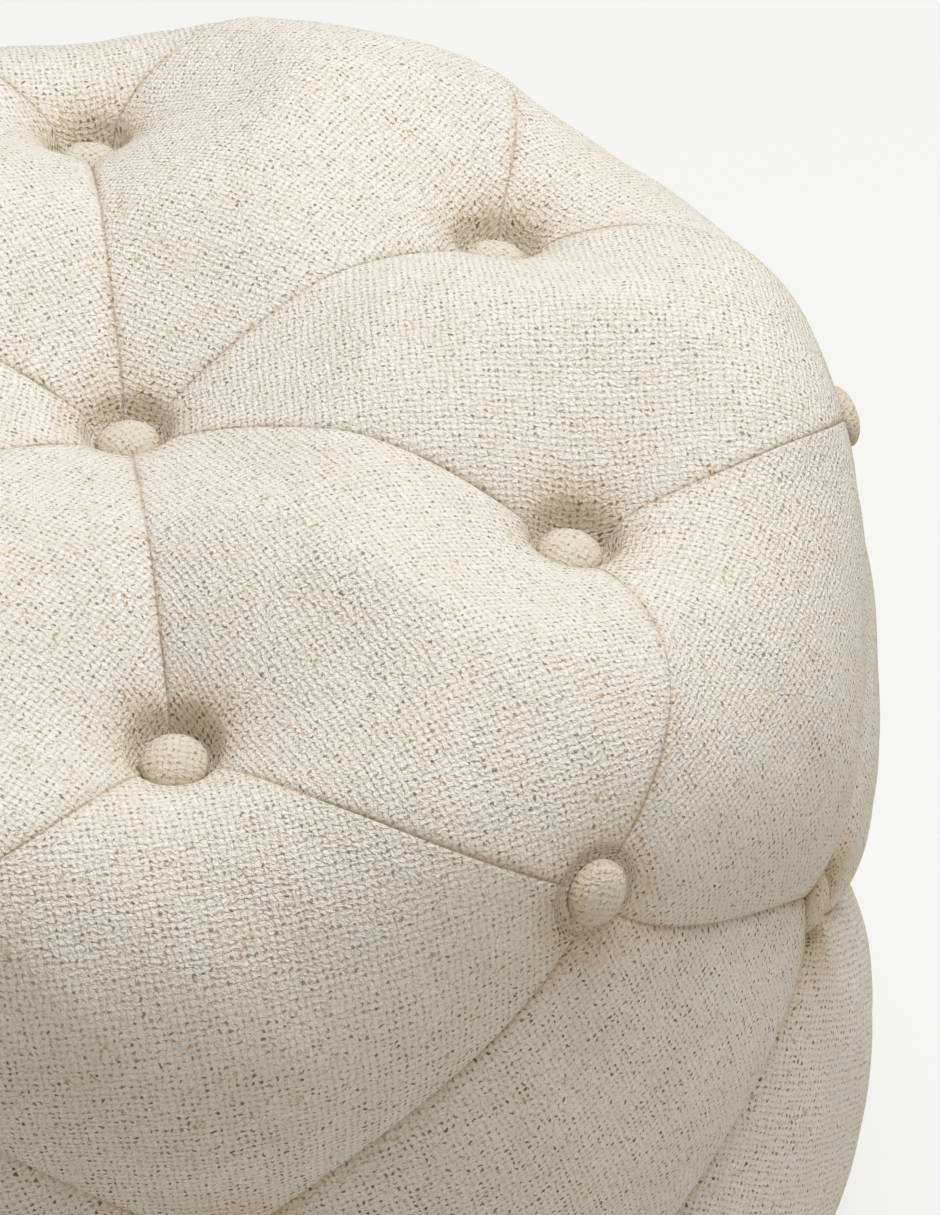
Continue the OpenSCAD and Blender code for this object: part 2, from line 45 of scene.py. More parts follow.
# Sizes of the part, in millimetres, as in its source
STEP, HALF = 60.0, 30.0
SEAT_Z = 387.0
RING_R = (0.0, 181.0, 281.0, 284.0, 284.0)
RING_Z = (387.0, 390.0, 369.0, 245.0, 125.0)
RING_LEAN = (0.0, 8.0, 72.0, 90.0, 90.0)
HEM_R, HEM_Z = 290.0, 10.2
ARMS = (((63, 0, 41), (-71, 0, 53)), ((13, 18, 29), (-7, -87, 70)), ((9, 25, -53), (11, -33, 45)),
        ((9, 25, -53), (11, -33, 45)), ((18, 0, -30), (10, 0, 30)))
CROWN = (-18.0, 8.5, 12.5, 12.5)
FULLNESS = 1.0
CORE_R, CORE_Z = 210.0, 320.0
CLOTH_T = 1.5
BUTTON_R = 12.5
FOAM_R, FOAM_TOP, FOAM_ROUND = 278.0, 383.0, 48.0
FOAM_SLACK, FOAM_SHARE = 1.5, 0.33
SEAT_FOAM_Z, SIDE_FOAM_TOP = 333.0, 332.7
BASE_TOP, BASE_Z = 28.0, 10.0
SIDE_FOAM_IN = 242.0
LINING_T, LINING_IN, DUST_R = 0.8, 248.0, 262.0


# Surface of the pillows, as in the source
def polar(r, az, z):
    """Point at a radius, an azimuth in degrees and a height."""
    a = math.radians(az)
    return np.array([r * math.cos(a), r * math.sin(a), z])


def seat(k, az):
    """Middle of the seat of a button of ring k."""
    return polar(RING_R[k], az, RING_Z[k])


def facing(k, az):
    """Direction in which that button faces."""
    lean = math.radians(RING_LEAN[k])
    return polar(math.sin(lean), az, math.cos(lean))


def arm(az, side, h):
    """Handle of a pleat's curve, turned to its azimuth and its side."""
    a = math.radians(az)
    return np.array([h[0] * math.cos(a) - side * h[1] * math.sin(a),
                     h[0] * math.sin(a) + side * h[1] * math.cos(a), h[2]])


def pleat(k, az, side, t):
    """Points of a pleat from ring k to the next ring, or from the last ring to the hem."""
    turn = 0.0 if k in (0, 4) else side * HALF
    start = seat(k, az)
    end = polar(HEM_R, az, HEM_Z) if k == 4 else seat(k + 1, az + turn)
    a = start + arm(az, side, ARMS[k][0])
    b = end + arm(az + turn, side, ARMS[k][1])
    t = np.asarray(t)[..., None]
    return (1 - t) ** 3 * start + 3 * (1 - t) ** 2 * t * a + 3 * (1 - t) * t * t * b + t ** 3 * end


def stretched(a, b, c, d, corners, u, v):
    """Surface stretched between four edges that meet at four corners."""
    top, right, left, low = corners
    u, v = u[..., None], v[..., None]
    return ((1 - v) * a + v * b + (1 - u) * c + u * d
            - (1 - u) * (1 - v) * top - u * (1 - v) * right - (1 - u) * v * left - u * v * low)


def hem_line(az, u):
    """Points of the hem under one pillow of the border."""
    a = np.radians(az + HALF * (2 * u - 1))
    return np.stack([HEM_R * np.cos(a), HEM_R * np.sin(a), np.full_like(a, HEM_Z)], -1)


SOFT_FOLD = 0.35


def flat_pillow(k, u, v):
    """The stretched surface of one pillow that hangs at azimuth 0, before it swells."""
    if k < 3:
        a = pleat(0, HALF, 1, u) if k == 0 else pleat(k, 0, 1, u)
        c = pleat(0, -HALF, 1, v) if k == 0 else pleat(k, 0, -1, v)
        corners = (seat(k, 0), seat(k + 1, HALF), seat(k + 1, -HALF), seat(k + 2, 0))
        return stretched(a, pleat(k + 1, -HALF, 1, u), c, pleat(k + 1, HALF, -1, v), corners, u, v)
    x = 2 * u - 1
    r = np.sqrt(x * x + (SOFT_FOLD * v * (1 - x * x)) ** 2)
    a = pleat(3, 0, 1, r)
    a[..., 1] *= x / np.maximum(r, 1e-9)
    corners = (seat(4, -HALF), seat(4, HALF), polar(HEM_R, -HALF, HEM_Z), polar(HEM_R, HALF, HEM_Z))
    return stretched(a, hem_line(0, u), pleat(4, -HALF, 1, v), pleat(4, HALF, 1, v), corners, u, v)


def outward(p, cr=CORE_R, cz=CORE_Z):
    """Direction away from a round core, sideways on the side and up on the seat."""
    r = np.hypot(p[..., 0], p[..., 1])
    e = np.maximum(r - cr, 0) / np.maximum(r, 1)
    w = np.stack([e * p[..., 0], e * p[..., 1], np.maximum(p[..., 2] - cz, 0)], -1)
    return w / np.maximum(np.linalg.norm(w, axis=-1, keepdims=True), 0.001)


def swell(u, v):
    """Share of its crown that a pillow has at u and v."""
    return np.maximum(16 * u * (1 - u) * v * (1 - v), 0) ** FULLNESS


def on_foam(p):
    """The point of the foam's face that lies under p."""
    r, z = FOAM_R - FOAM_ROUND, FOAM_TOP - FOAM_ROUND
    d = np.hypot(p[..., 0], p[..., 1])
    q = np.minimum(d, r) / np.maximum(d, 1)
    core = np.stack([p[..., 0] * q, p[..., 1] * q, np.minimum(p[..., 2], z)], -1)
    depth = np.linalg.norm(p - core, axis=-1, keepdims=True) - FOAM_ROUND
    return core + (FOAM_ROUND + FOAM_SLACK + FOAM_SHARE * depth) * outward(p, r, z)


def ring_azimuths(k):
    """Azimuths of the buttons of ring k."""
    return [0.0] if k == 0 else [i * STEP - (k % 2) * HALF for i in range(6)]


def corner_buttons(k):
    """The buttons round a pillow at azimuth 0, as ring and azimuth."""
    if k < 3:
        return [(k, 0.0), (k + 1, HALF), (k + 1, -HALF), (k + 2, 0.0)]
    return [(3, 0.0), (4, HALF), (4, -HALF)]


def turned(p, az):
    """Points turned about the upright axis."""
    a = math.radians(az)
    c, s = math.cos(a), math.sin(a)
    return np.stack([p[..., 0] * c - p[..., 1] * s, p[..., 0] * s + p[..., 1] * c, p[..., 2]], -1)


class Waves:
    """Smooth, seeded unevenness as a sum of plane waves."""

    def __init__(self, length, count=9):
        d = rng.normal(size=(count, 3))
        d /= np.linalg.norm(d, axis=1, keepdims=True)
        self.k = d * (2 * math.pi / (length * rng.uniform(0.75, 1.4, (count, 1))))
        self.phase = rng.uniform(0, 2 * math.pi, count)

    def at(self, p):
        return np.sin(p @ self.k.T + self.phase).sum(-1) / math.sqrt(len(self.phase))


wide_waves = Waves(110.0)
small_waves = Waves(38.0)

TUCK_DEPTH, TUCK_HEIGHT, TUCK_WIDTH = (0.9, 1.4), (250.0, 350.0), 1.2
WELL_RISE = 7.0
BUTTON_EDGE = BUTTON_R - 0.4
LIP, LIP_REACH = 10.0, 3.5
RISE, RISE_REACH = 54.0, 75.0
BLEND, BLEND_GROWTH = 2.0, 0.07
NEAR, FAR = 60.0, 100.0
CALM_EDGE, WIDE_SWING, SMALL_SWING = 14.0, 1.2, 0.45
NUDGE, FAR_OFF = 1e-4, 1e3


def edge_distance(k, u, v):
    """Distance in millimetres from the nearest pleat of a pillow."""
    e = NUDGE
    u1, v1 = np.clip(u, e, 1 - e), np.clip(v, e, 1 - e)
    du = (flat_pillow(k, u1 + e, v1) - flat_pillow(k, u1 - e, v1)) / (2 * e)
    dv = (flat_pillow(k, u1, v1 + e) - flat_pillow(k, u1, v1 - e)) / (2 * e)
    area = np.linalg.norm(np.cross(du, dv), axis=-1)
    across_u = area / np.maximum(np.linalg.norm(dv, axis=-1), 1)
    across_v = area / np.maximum(np.linalg.norm(du, axis=-1), 1)
    near = [u * across_u, (1 - u) * across_u, v * across_v]
    if k < 3:
        near.append((1 - v) * across_v)
    return np.minimum.reduce(near)


def above(p, s, f):
    """Height of p over a button's plane, and its distance from the button's axis."""
    d = p - s
    h = d @ f
    return h, np.linalg.norm(d - h[..., None] * f, axis=-1)


def held_down(h, rho):
    """How far a button's twine draws down a point that stands h above the button's plane: the cloth
    slopes up from the button all round."""
    x = np.maximum(rho - BUTTON_R, 0)
    dimple = LIP * (1 - np.exp(-x / LIP_REACH)) + RISE * (1 - np.exp(-x / RISE_REACH))
    blend = BLEND + BLEND_GROWTH * x
    drawn = blend * np.logaddexp(0, (h - dimple) / blend)
    fade = np.clip((FAR - rho) / (FAR - NEAR), 0, 1)
    return drawn * fade * fade * (3 - 2 * fade)


def pillow_points(k, az, u, v):
    """Points of the cloth of one pillow, with the distances from its pleats and its buttons."""
    flat = flat_pillow(k, u, v)
    gap = edge_distance(k, u, v)
    n = outward(flat)
    p = flat + (CROWN[k] * swell(u, v))[..., None] * n
    placed = turned(p, az)
    inside = np.clip(gap / CALM_EDGE, 0, 1)[..., None]
    uneven = WIDE_SWING * wide_waves.at(placed) + SMALL_SWING * small_waves.at(placed)
    tuck = np.interp(p[..., 2], TUCK_HEIGHT, TUCK_DEPTH) * np.exp(-gap / TUCK_WIDTH)
    p = p + (inside * uneven[..., None] - tuck[..., None]) * n
    buttons = [(seat(*b), facing(*b)) for b in corner_buttons(k)]
    p = p - sum(held_down(*above(p, s, f))[..., None] * f for s, f in buttons)
    rim = np.full(gap.shape, FAR_OFF)
    for s, f in buttons:
        h, rho = above(p, s, f)
        x = np.clip((rho - BUTTON_EDGE) / WELL_RISE, 0, 1)
        p = p - (h * (1 - x * x * (3 - 2 * x)))[..., None] * f
        rim = np.minimum(rim, np.maximum(rho - BUTTON_R, 0))
    return turned(p, az), gap, rim


# The cloth's threads on each pillow: the flattest map of its surface
CHART_DEGREE, CHART_SAMPLES, CHART_ROUNDS = 10, 36, 25
CHART_SPAN, CHART_START = 0.96, 0.02
CHART_NUDGE, CHART_PIN, CHART_CUT = 1e-3, 1e3, 1e-9
HALF_WAY = np.array([0.5])


def chart_terms(k, u, v):
    """Smooth patterns over a pillow, whose weighted sum is the map."""
    x, y = 2 * u - 1, 2 * v - 1
    along_u = [np.cos(i * np.arccos(np.clip(x, -1, 1))) for i in range(CHART_DEGREE)]
    if k == 3:
        along_u += [np.abs(x), np.abs(x) ** 3]
    along_v = [np.cos(j * np.arccos(np.clip(y, -1, 1))) for j in range(CHART_DEGREE)]
    return np.stack([a * b for a in along_u for b in along_v], -1)


def even_pillow(k, u, v):
    """The pillow's surface without its waves, tucks and wells."""
    flat = flat_pillow(k, u, v)
    return flat + (CROWN[k] * swell(u, v))[..., None] * outward(flat)


def chart(k):
    """The map of one kind of pillow: a function from u and v to millimetres of cloth in two directions.
    Each round turns the frame of every sample to suit the map, and fits the map to the frames again."""
    g = (np.arange(CHART_SAMPLES) + 0.5) / CHART_SAMPLES * CHART_SPAN + CHART_START
    u, v = [x.ravel() for x in np.meshgrid(g, g, indexing="ij")]
    e = CHART_NUDGE
    du = (even_pillow(k, u + e, v) - even_pillow(k, u - e, v)) / (2 * e)
    dv = (even_pillow(k, u, v + e) - even_pillow(k, u, v - e)) / (2 * e)
    bu = (chart_terms(k, u + e, v) - chart_terms(k, u - e, v)) / (2 * e)
    bv = (chart_terms(k, u, v + e) - chart_terms(k, u, v - e)) / (2 * e)
    a = np.linalg.norm(du, axis=1)
    e1 = du / a[:, None]
    b = (dv * e1).sum(1)
    c = np.linalg.norm(dv - b[:, None] * e1, axis=1)
    w = np.sqrt(a * c)[:, None]
    gx = bu / a[:, None]
    gy = (bv - b[:, None] * gx) / c[:, None]
    rows = np.vstack([gx * w, gy * w, chart_terms(k, HALF_WAY, HALF_WAY) * CHART_PIN])
    inverse = np.linalg.pinv(rows, rcond=CHART_CUT)
    normal = np.cross(du, dv)
    e2 = np.cross(normal / (a * c)[:, None], e1)
    centre = len(e1) // 2 + CHART_SAMPLES // 2
    aside = e1[centre]
    ahead = np.cross(normal[centre] / np.linalg.norm(normal[centre]), aside)
    s_x, s_y = e1 @ aside, e2 @ aside
    t_x, t_y = e1 @ ahead, e2 @ ahead
    zero = np.zeros(1)
    for _ in range(CHART_ROUNDS):
        angle = np.arctan2(t_x - s_y, s_x + t_y)
        co, si = np.cos(angle), np.sin(angle)
        cs = inverse @ np.concatenate([co * w[:, 0], -si * w[:, 0], zero])
        ct = inverse @ np.concatenate([si * w[:, 0], co * w[:, 0], zero])
        s_x, s_y, t_x, t_y = gx @ cs, gy @ cs, gx @ ct, gy @ ct
    return lambda p, q: (chart_terms(k, p, q) @ cs, chart_terms(k, p, q) @ ct)


# Mesh making
COVER_SHARP, BUTTON_SHARP, PLAIN_SHARP = 50, 60, 40


def soft_lines(n, b=0.75):
    """Grid lines from 0 to 1, closer together at both ends."""
    i = np.arange(n + 1) / n
    return (1 - b) * i + b * (0.5 - 0.5 * np.cos(math.pi * i))


def grid_quads(rows, cols, start=0):
    """Faces of a grid of points, as four indices each."""
    i, j = np.meshgrid(np.arange(rows), np.arange(cols), indexing="ij")
    a = (start + i * (cols + 1) + j).ravel()
    return np.stack([a, a + cols + 1, a + cols + 2, a + 1], 1)


def welded(points, quads, digits=3):
    """Points that lie in the same place become one. Returns points, faces and the first index of each."""
    key = np.round(points, digits) + 0.0
    _, first, back = np.unique(key, axis=0, return_index=True, return_inverse=True)
    return points[first], back.ravel()[quads], first


def add_object(name, data):
    """A new object in the scene."""
    obj = bpy.data.objects.new(name, data)
    bpy.context.scene.collection.objects.link(obj)
    return obj


def make_piece(name, points, faces, material, sharp, corner=None, point=None):
    """A smooth mesh piece that rides on the root body. Points are in millimetres, a face may repeat a
    corner, and edges turn sharp from an angle in degrees."""
    rows, corners = [], []
    for n, f in enumerate(faces.tolist()):
        keep = [i for i in range(len(f)) if f[i] != f[i - 1]]
        if len(keep) > 2:
            rows.append([f[i] for i in keep])
            corners.extend(n * len(f) + i for i in keep)
    mesh = bpy.data.meshes.new(name)
    mesh.from_pydata((points * MM).tolist(), [], rows)
    for key, values in (corner or {}).items():
        layer = mesh.attributes.new(key, "FLOAT_VECTOR", "CORNER")
        layer.data.foreach_set("vector", values.reshape(-1, 3)[corners].astype(np.float32).ravel())
    for key, values in (point or {}).items():
        layer = mesh.attributes.new(key, "FLOAT_VECTOR", "POINT")
        layer.data.foreach_set("vector", values.astype(np.float32).ravel())
    mesh.shade_smooth()
    mesh.set_sharp_from_angle(angle=math.radians(sharp))
    mesh.materials.append(material)
    mesh.update()
    obj = add_object(name, mesh)
    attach(obj, "root")
    return obj


def rim_edges(faces):
    """Directed edges that only one face has."""
    e = np.concatenate([faces[:, [i, (i + 1) % 4]] for i in range(4)])
    e = e[e[:, 0] != e[:, 1]]
    size = faces.max() + 1
    ids = e[:, 0] * size + e[:, 1]
    back = e[:, 1] * size + e[:, 0]
    return e[~np.isin(ids, back)]


HEM_ROOM = 0.5
HEM_FOLD = (45, 90, 135)


def closed_shell(outer, faces, inner, hem=False):
    """Outer and inner points with their rims closed. At the hem the cloth turns under in a round fold."""
    count = len(outer)
    points = [outer, inner]
    all_faces = [faces, faces[:, ::-1] + count]
    e = rim_edges(faces)
    low = outer[e].max(1)[:, 2] < HEM_Z + HEM_ROOM
    plain = e if not hem else e[~low]
    all_faces.append(np.stack([plain[:, 1], plain[:, 0], plain[:, 0] + count, plain[:, 1] + count], 1))
    if hem:
        e = e[low]
        loop = np.unique(e)
        slot = {int(v): i for i, v in enumerate(loop)}
        middle = (outer[loop] + inner[loop]) / 2
        reach = (outer[loop] - inner[loop]) / 2
        layers = [loop]
        base = 2 * count
        for angle in np.radians(HEM_FOLD):
            ring = middle + math.cos(angle) * reach
            ring[:, 2] -= math.sin(angle) * CLOTH_T / 2
            points.append(ring)
            layers.append(np.arange(base, base + len(loop)))
            base += len(loop)
        layers.append(loop + count)
        a = np.array([slot[int(v)] for v in e[:, 0]])
        b = np.array([slot[int(v)] for v in e[:, 1]])
        for hi, lo in zip(layers[:-1], layers[1:]):
            all_faces.append(np.stack([hi[b], hi[a], lo[a], lo[b]], 1))
    return np.concatenate(points), np.concatenate(all_faces)


WALL_END, WALL_SAMPLES = 40.0, 120
WALL_R = np.linspace(BUTTON_EDGE, WALL_END, WALL_SAMPLES)
WALL_X = WALL_R - BUTTON_EDGE
WALL_EASE = np.clip(WALL_X / WELL_RISE, 0, 1)
WALL_H = (LIP * (1 - np.exp(-WALL_X / LIP_REACH)) + RISE * (1 - np.exp(-WALL_X / RISE_REACH))) \
    * WALL_EASE ** 2 * (3 - 2 * WALL_EASE)
WALL_LENGTH = np.concatenate([[0], np.cumsum(np.hypot(np.diff(WALL_R), np.diff(WALL_H)))])
OPEN_SLOPE = 1.2


def drawn_cloth(rho):
    """Length of cloth that a button draws into its well, beyond what the open pillow has there."""
    rest = WALL_LENGTH[-1] - np.interp(rho, WALL_R, WALL_LENGTH)
    return np.maximum(rest - OPEN_SLOPE * (WALL_R[-1] - np.clip(rho, WALL_R[0], WALL_R[-1])), 0)


DIAMOND_CORNERS = ((0.0, 0.0), (1.0, 0.0), (0.0, 1.0), (1.0, 1.0))
BORDER_CORNERS = ((0.5, 0.0), (1.0, 0.0), (0.0, 0.0))


def threads(k, u, v, flatten):
    """Weave coordinates of a pillow: its flattened surface, with the cloth slid into the wells."""
    s, t = flatten(u.ravel(), v.ravel())
    st = np.stack([s, t], -1)
    p, _, _ = pillow_points(k, 0.0, u, v)
    middle = np.concatenate(flatten(HALF_WAY, HALF_WAY))
    places = DIAMOND_CORNERS if k < 3 else BORDER_CORNERS
    for b, (cu, cv) in zip(corner_buttons(k), places):
        way = middle - np.concatenate(flatten(np.array([cu]), np.array([cv])))
        _, rho = above(p.reshape(-1, 3), seat(*b), facing(*b))
        st -= drawn_cloth(rho)[:, None] * way / np.linalg.norm(way)
    return st[:, 0], st[:, 1]


PANELS = {"seat": (0,), "side": (1, 2), "border": (3,)}
WEAVE_TURN, WEAVE_SWING, WEAVE_SHIFT = 50.0, 5, 40
RING_PATTERN, INNER_NEAR = 7.0, 30.0
FINE, COARSE = 80, 30


def panel_grid(k, n):
    """Values of u and v over a pillow, closer at its edges and at the middle corner of a border pillow."""
    u = soft_lines(n)
    if k == 3:
        u = np.concatenate([soft_lines(n * 3 // 4) / 2, 0.5 + soft_lines(n * 3 // 4)[1:] / 2])
    v = soft_lines(n)
    uu, vv = np.meshgrid(u, v, indexing="ij")
    return uu, vv, len(u) - 1, len(v) - 1


charts = {k: chart(k) for k in range(4)}


def cover_piece(name, rings, material):
    """The cloth of a set of pillows as one closed piece."""
    points, near, weave, quads, start = [], [], [], [], 0
    for k in rings:
        u, v, rows, cols = panel_grid(k, FINE)
        s, t = threads(k, u, v, charts[k])
        for i, az in enumerate(ring_azimuths(2 if k == 0 else k)):
            p, gap, rim = pillow_points(k, az, u, v)
            points.append(p.reshape(-1, 3))
            near.append(np.stack([gap.ravel(), rim.ravel(), np.zeros(gap.size)], 1))
            a = math.radians(WEAVE_TURN + rng.uniform(-WEAVE_SWING, WEAVE_SWING))
            shift = rng.uniform(0, WEAVE_SHIFT, 2)
            weave.append(np.stack([s * math.cos(a) - t * math.sin(a) + shift[0],
                                   s * math.sin(a) + t * math.cos(a) + shift[1],
                                   np.full(s.size, i + RING_PATTERN * k)], 1))
            quads.append(grid_quads(rows, cols, start))
            start += gap.size
    points, near, weave, quads = [np.concatenate(x) for x in (points, near, weave, quads)]
    outer, faces, first = welded(points, quads)
    inner = outer - CLOTH_T * outward(outer)
    every, closed = closed_shell(outer, faces, inner, hem=3 in rings)
    corner = np.zeros((len(closed), 4, 3))
    corner[:len(faces)] = weave[quads]
    corner[len(faces):2 * len(faces)] = weave[quads[:, ::-1]]
    spots = np.full((len(every), 3), INNER_NEAR)
    spots[:len(outer)] = near[first]
    return make_piece(name, every, closed, material, COVER_SHARP, {"weave": corner}, {"near": spots})


FILL_GAP, FILL_MOST = 0.8, 0.8
PLEAT_SINK, PLEAT_SINK_REACH = 2.5, 6.0
WELL_SINK, WELL_SINK_REACH = 7.0, 12.0


def fill_piece(name, rings, material):
    """The fibre of a set of pillows: it fills the room between the cloth and the foam."""
    points, spots, quads, start = [], [], [], 0
    for k in rings:
        u, v, rows, cols = panel_grid(k, COARSE)
        for az in ring_azimuths(2 if k == 0 else k):
            p, gap, rim = pillow_points(k, az, u, v)
            points.append(p.reshape(-1, 3))
            spots.append(np.stack([gap.ravel(), rim.ravel()], 1))
            quads.append(grid_quads(rows, cols, start))
            start += gap.size
    skin, faces, first = welded(np.concatenate(points), np.concatenate(quads))
    gap, rim = np.concatenate(spots)[first].T
    foam = on_foam(skin)
    room = np.linalg.norm(skin - foam, axis=1)
    by_pleat = PLEAT_SINK * np.exp(-gap / PLEAT_SINK_REACH)
    by_button = WELL_SINK * np.exp(-rim / WELL_SINK_REACH)
    sink = np.minimum(CLOTH_T + FILL_GAP + by_pleat + by_button, FILL_MOST * room)
    every, closed = closed_shell(skin - sink[:, None] * outward(skin), faces, foam)
    return make_piece(name, every, closed, material, COVER_SHARP)


ROUND_SEGMENTS, SHEET_SEGMENTS = 144, 180


def circle(segments):
    """Angles of a full circle, of which the last is the first again."""
    a = np.arange(segments + 1) / segments * 2 * math.pi
    a[-1] = 0
    return a


def turned_piece(name, profile, material):
    """A solid of revolution from a closed profile of radius and height."""
    profile = np.asarray(profile, float)
    a = circle(ROUND_SEGMENTS)
    p = np.stack([profile[:, None, 0] * np.cos(a), profile[:, None, 0] * np.sin(a),
                  np.repeat(profile[:, 1][:, None], len(a), 1)], -1).reshape(-1, 3)
    v, f, _ = welded(p, grid_quads(len(profile) - 1, ROUND_SEGMENTS))
    return make_piece(name, v, f[:, ::-1], material, PLAIN_SHARP)


def rounded(profile, radius, steps=5):
    """The closed profile with its corners rounded, apart from those on the axis."""
    out = []
    n = len(profile)
    for i, p in enumerate(np.asarray(profile, float)):
        a, b = np.asarray(profile[i - 1], float), np.asarray(profile[(i + 1) % n], float)
        if p[0] < 1e-6:
            out.append(p)
            continue
        la, lb = np.linalg.norm(a - p), np.linalg.norm(b - p)
        r = min(radius, la / 2, lb / 2)
        s, e = p + (a - p) * r / la, p + (b - p) * r / lb
        for t in np.linspace(0, 1, steps):
            out.append((1 - t) ** 2 * s + 2 * t * (1 - t) * p + t * t * e)
    return out


# Materials
class Net:
    """A material's nodes, with short names for the ones that are used here."""

    def __init__(self, name):
        self.mat = bpy.data.materials.new(name)
        self.mat.use_nodes = True
        self.tree = self.mat.node_tree
        self.tree.nodes.clear()

    def add(self, kind, **props):
        n = self.tree.nodes.new(kind)
        for key, value in props.items():
            setattr(n, key, value)
        return n

    def plug(self, value, socket):
        if isinstance(value, bpy.types.NodeSocket):
            self.tree.links.new(value, socket)
        else:
            socket.default_value = value

    def math(self, op, a, b=0.0, c=0.0, clamp=False):
        n = self.add("ShaderNodeMath", operation=op, use_clamp=clamp)
        for i, x in enumerate((a, b, c)):
            self.plug(x, n.inputs[i])
        return n.outputs[0]

    def scaled(self, a, b, c=None, clamp=False):
        """a times b, plus c where it is given."""
        if c is None:
            return self.math("MULTIPLY", a, b, clamp=clamp)
        return self.math("MULTIPLY_ADD", a, b, c, clamp)

    def vec(self, op, a, b=(0, 0, 0)):
        n = self.add("ShaderNodeVectorMath", operation=op)
        self.plug(a, n.inputs[0])
        self.plug(b, n.inputs[1])
        return n.outputs[0]

    def times(self, a, s):
        n = self.add("ShaderNodeVectorMath", operation="SCALE")
        self.plug(a, n.inputs[0])
        self.plug(s, n.inputs["Scale"])
        return n.outputs[0]

    def parts(self, a):
        n = self.add("ShaderNodeSeparateXYZ")
        self.plug(a, n.inputs[0])
        return n.outputs

    def join(self, x, y, z=0.0):
        n = self.add("ShaderNodeCombineXYZ")
        for i, s in enumerate((x, y, z)):
            self.plug(s, n.inputs[i])
        return n.outputs[0]

    def step(self, x, lo, hi, a=0.0, b=1.0):
        n = self.add("ShaderNodeMapRange", interpolation_type="SMOOTHSTEP")
        for i, s in enumerate((x, lo, hi, a, b)):
            self.plug(s, n.inputs[i])
        return n.outputs[0]

    def mix(self, f, a, b):
        n = self.add("ShaderNodeMix", data_type="RGBA")
        self.plug(f, n.inputs[0])
        self.plug(a, n.inputs[6])
        self.plug(b, n.inputs[7])
        return n.outputs[2]

    def noise(self, where, scale, detail=2.0, rough=0.5):
        n = self.add("ShaderNodeTexNoise")
        self.plug(where, n.inputs["Vector"])
        n.inputs["Scale"].default_value = scale
        n.inputs["Detail"].default_value = detail
        n.inputs["Roughness"].default_value = rough
        return n.outputs[0], n.outputs[1]

    def random(self, where):
        n = self.add("ShaderNodeTexWhiteNoise", noise_dimensions="3D")
        self.plug(where, n.inputs[0])
        return n.outputs[0]

    def attribute(self, name):
        return self.add("ShaderNodeAttribute", attribute_name=name).outputs["Vector"]

    def place(self):
        return self.add("ShaderNodeNewGeometry").outputs["Position"]

    def finish(self, colour, rough, height=None, depth=0.0, **constants):
        """Principled surface; constants are set on its own sockets."""
        shader = self.add("ShaderNodeBsdfPrincipled")
        out = self.add("ShaderNodeOutputMaterial")
        self.plug(colour, shader.inputs["Base Color"])
        self.plug(rough, shader.inputs["Roughness"])
        for key, value in constants.items():
            shader.inputs[key.replace("_", " ")].default_value = value
        if height is not None:
            bump = self.add("ShaderNodeBump")
            bump.inputs["Strength"].default_value = 1.0
            bump.inputs["Distance"].default_value = depth
            self.plug(height, bump.inputs["Height"])
            self.plug(bump.outputs[0], shader.inputs["Normal"])
        self.plug(shader.outputs[0], out.inputs[0])
        return self.mat


# The weave. Lengths are millimetres of cloth, but SIDE_HEIGHT is metres over the floor. A noise is its scale,
# detail and roughness. A span is where an effect starts and ends, and mostly its strength at both.
PITCH = 2.7
DRIFTS = ((0.16, 3.0), (0.5, 2.6))
YARN_POWER, YARN_SWING, YARN_HEIGHT, YARN_LIFT = 2.3, 0.34, 0.62, 0.8
LUMP_LIFT, FUZZ_LIFT, FUZZ_NOISE = 0.24, 1.5, (0.85, 3.0, 0.6)
HOLE_PATTERN, HOLE_FUZZ, HOLE_EDGE = 3.7, 0.6, 0.155
HOLE_LEAST, HOLE_SPREAD, HOLE_WIDENED = 0.015, 0.125, 0.06
HOLE_FAINT, HOLE_STRONG, HOLE_SIDE_SHADE, HOLE_WALL = 0.16, 0.68, 0.34, 0.12
WALL_SPAN, WALL_PLEAT_SPAN = (2.0, 22.0, 1.0, 0.0), (0.0, 2.5, 0.4, 1.0)
SIDE_HEIGHT = (0.33, 0.38, 1.0, 0.0)
TONE_NOISE, TONE_SPAN, TONE_SHADE = (0.055, 3.0, 0.6), (0.35, 0.65), (0.975, 0.955, 0.915, 1)
# The low places between the yarns are browned as painted shade.
LUMP_TINT, YARN_GAP_SHADE_SPAN = 0.10, (0.35, 0.8, 0.10, 0.0)
SLUB_SHIFT, SLUB_NOISE, SLUB_SPAN, SLUB_TINT = (31.0, 17.0, 0.0), (0.36, 3.0, 0.65), (0.615, 0.68), 0.8
# TAN_NOISE to TAN_FADE_SPAN paint shade as a tan tint in the button wells and along the pleats.
TAN_NOISE, TAN_SPAN, TAN_WALL = (0.3, 3.0, 0.7), (0.35, 0.7, 0.6, 1.3), 0.42
TAN_PLEAT_SPAN, TAN_FADE_SPAN = (0.8, 6.0, 0.26, 0.0), (20.0, 90.0, 1.0, 0.3)
# Warm brown painted shade round the buttons low on the side, where the cloth is in shade.
SIDE_SHADE_SPAN = (1.0, 38.0, 0.42, 0.0)
# FOLD_NOISE to FOLD_SIDE set the painted shade line in the creases of the pleats.
FOLD_NOISE, FOLD_FAINT_SPAN = (0.045, 2.0, 0.5), (0.38, 0.62, 0.35, 1.0)
FOLD_FADE_SPAN, FOLD_SPAN, FOLD_SIDE = (15.0, 110.0, 0.5, 0.2), (0.25, 1.3, 1.0, 0.0), -0.5
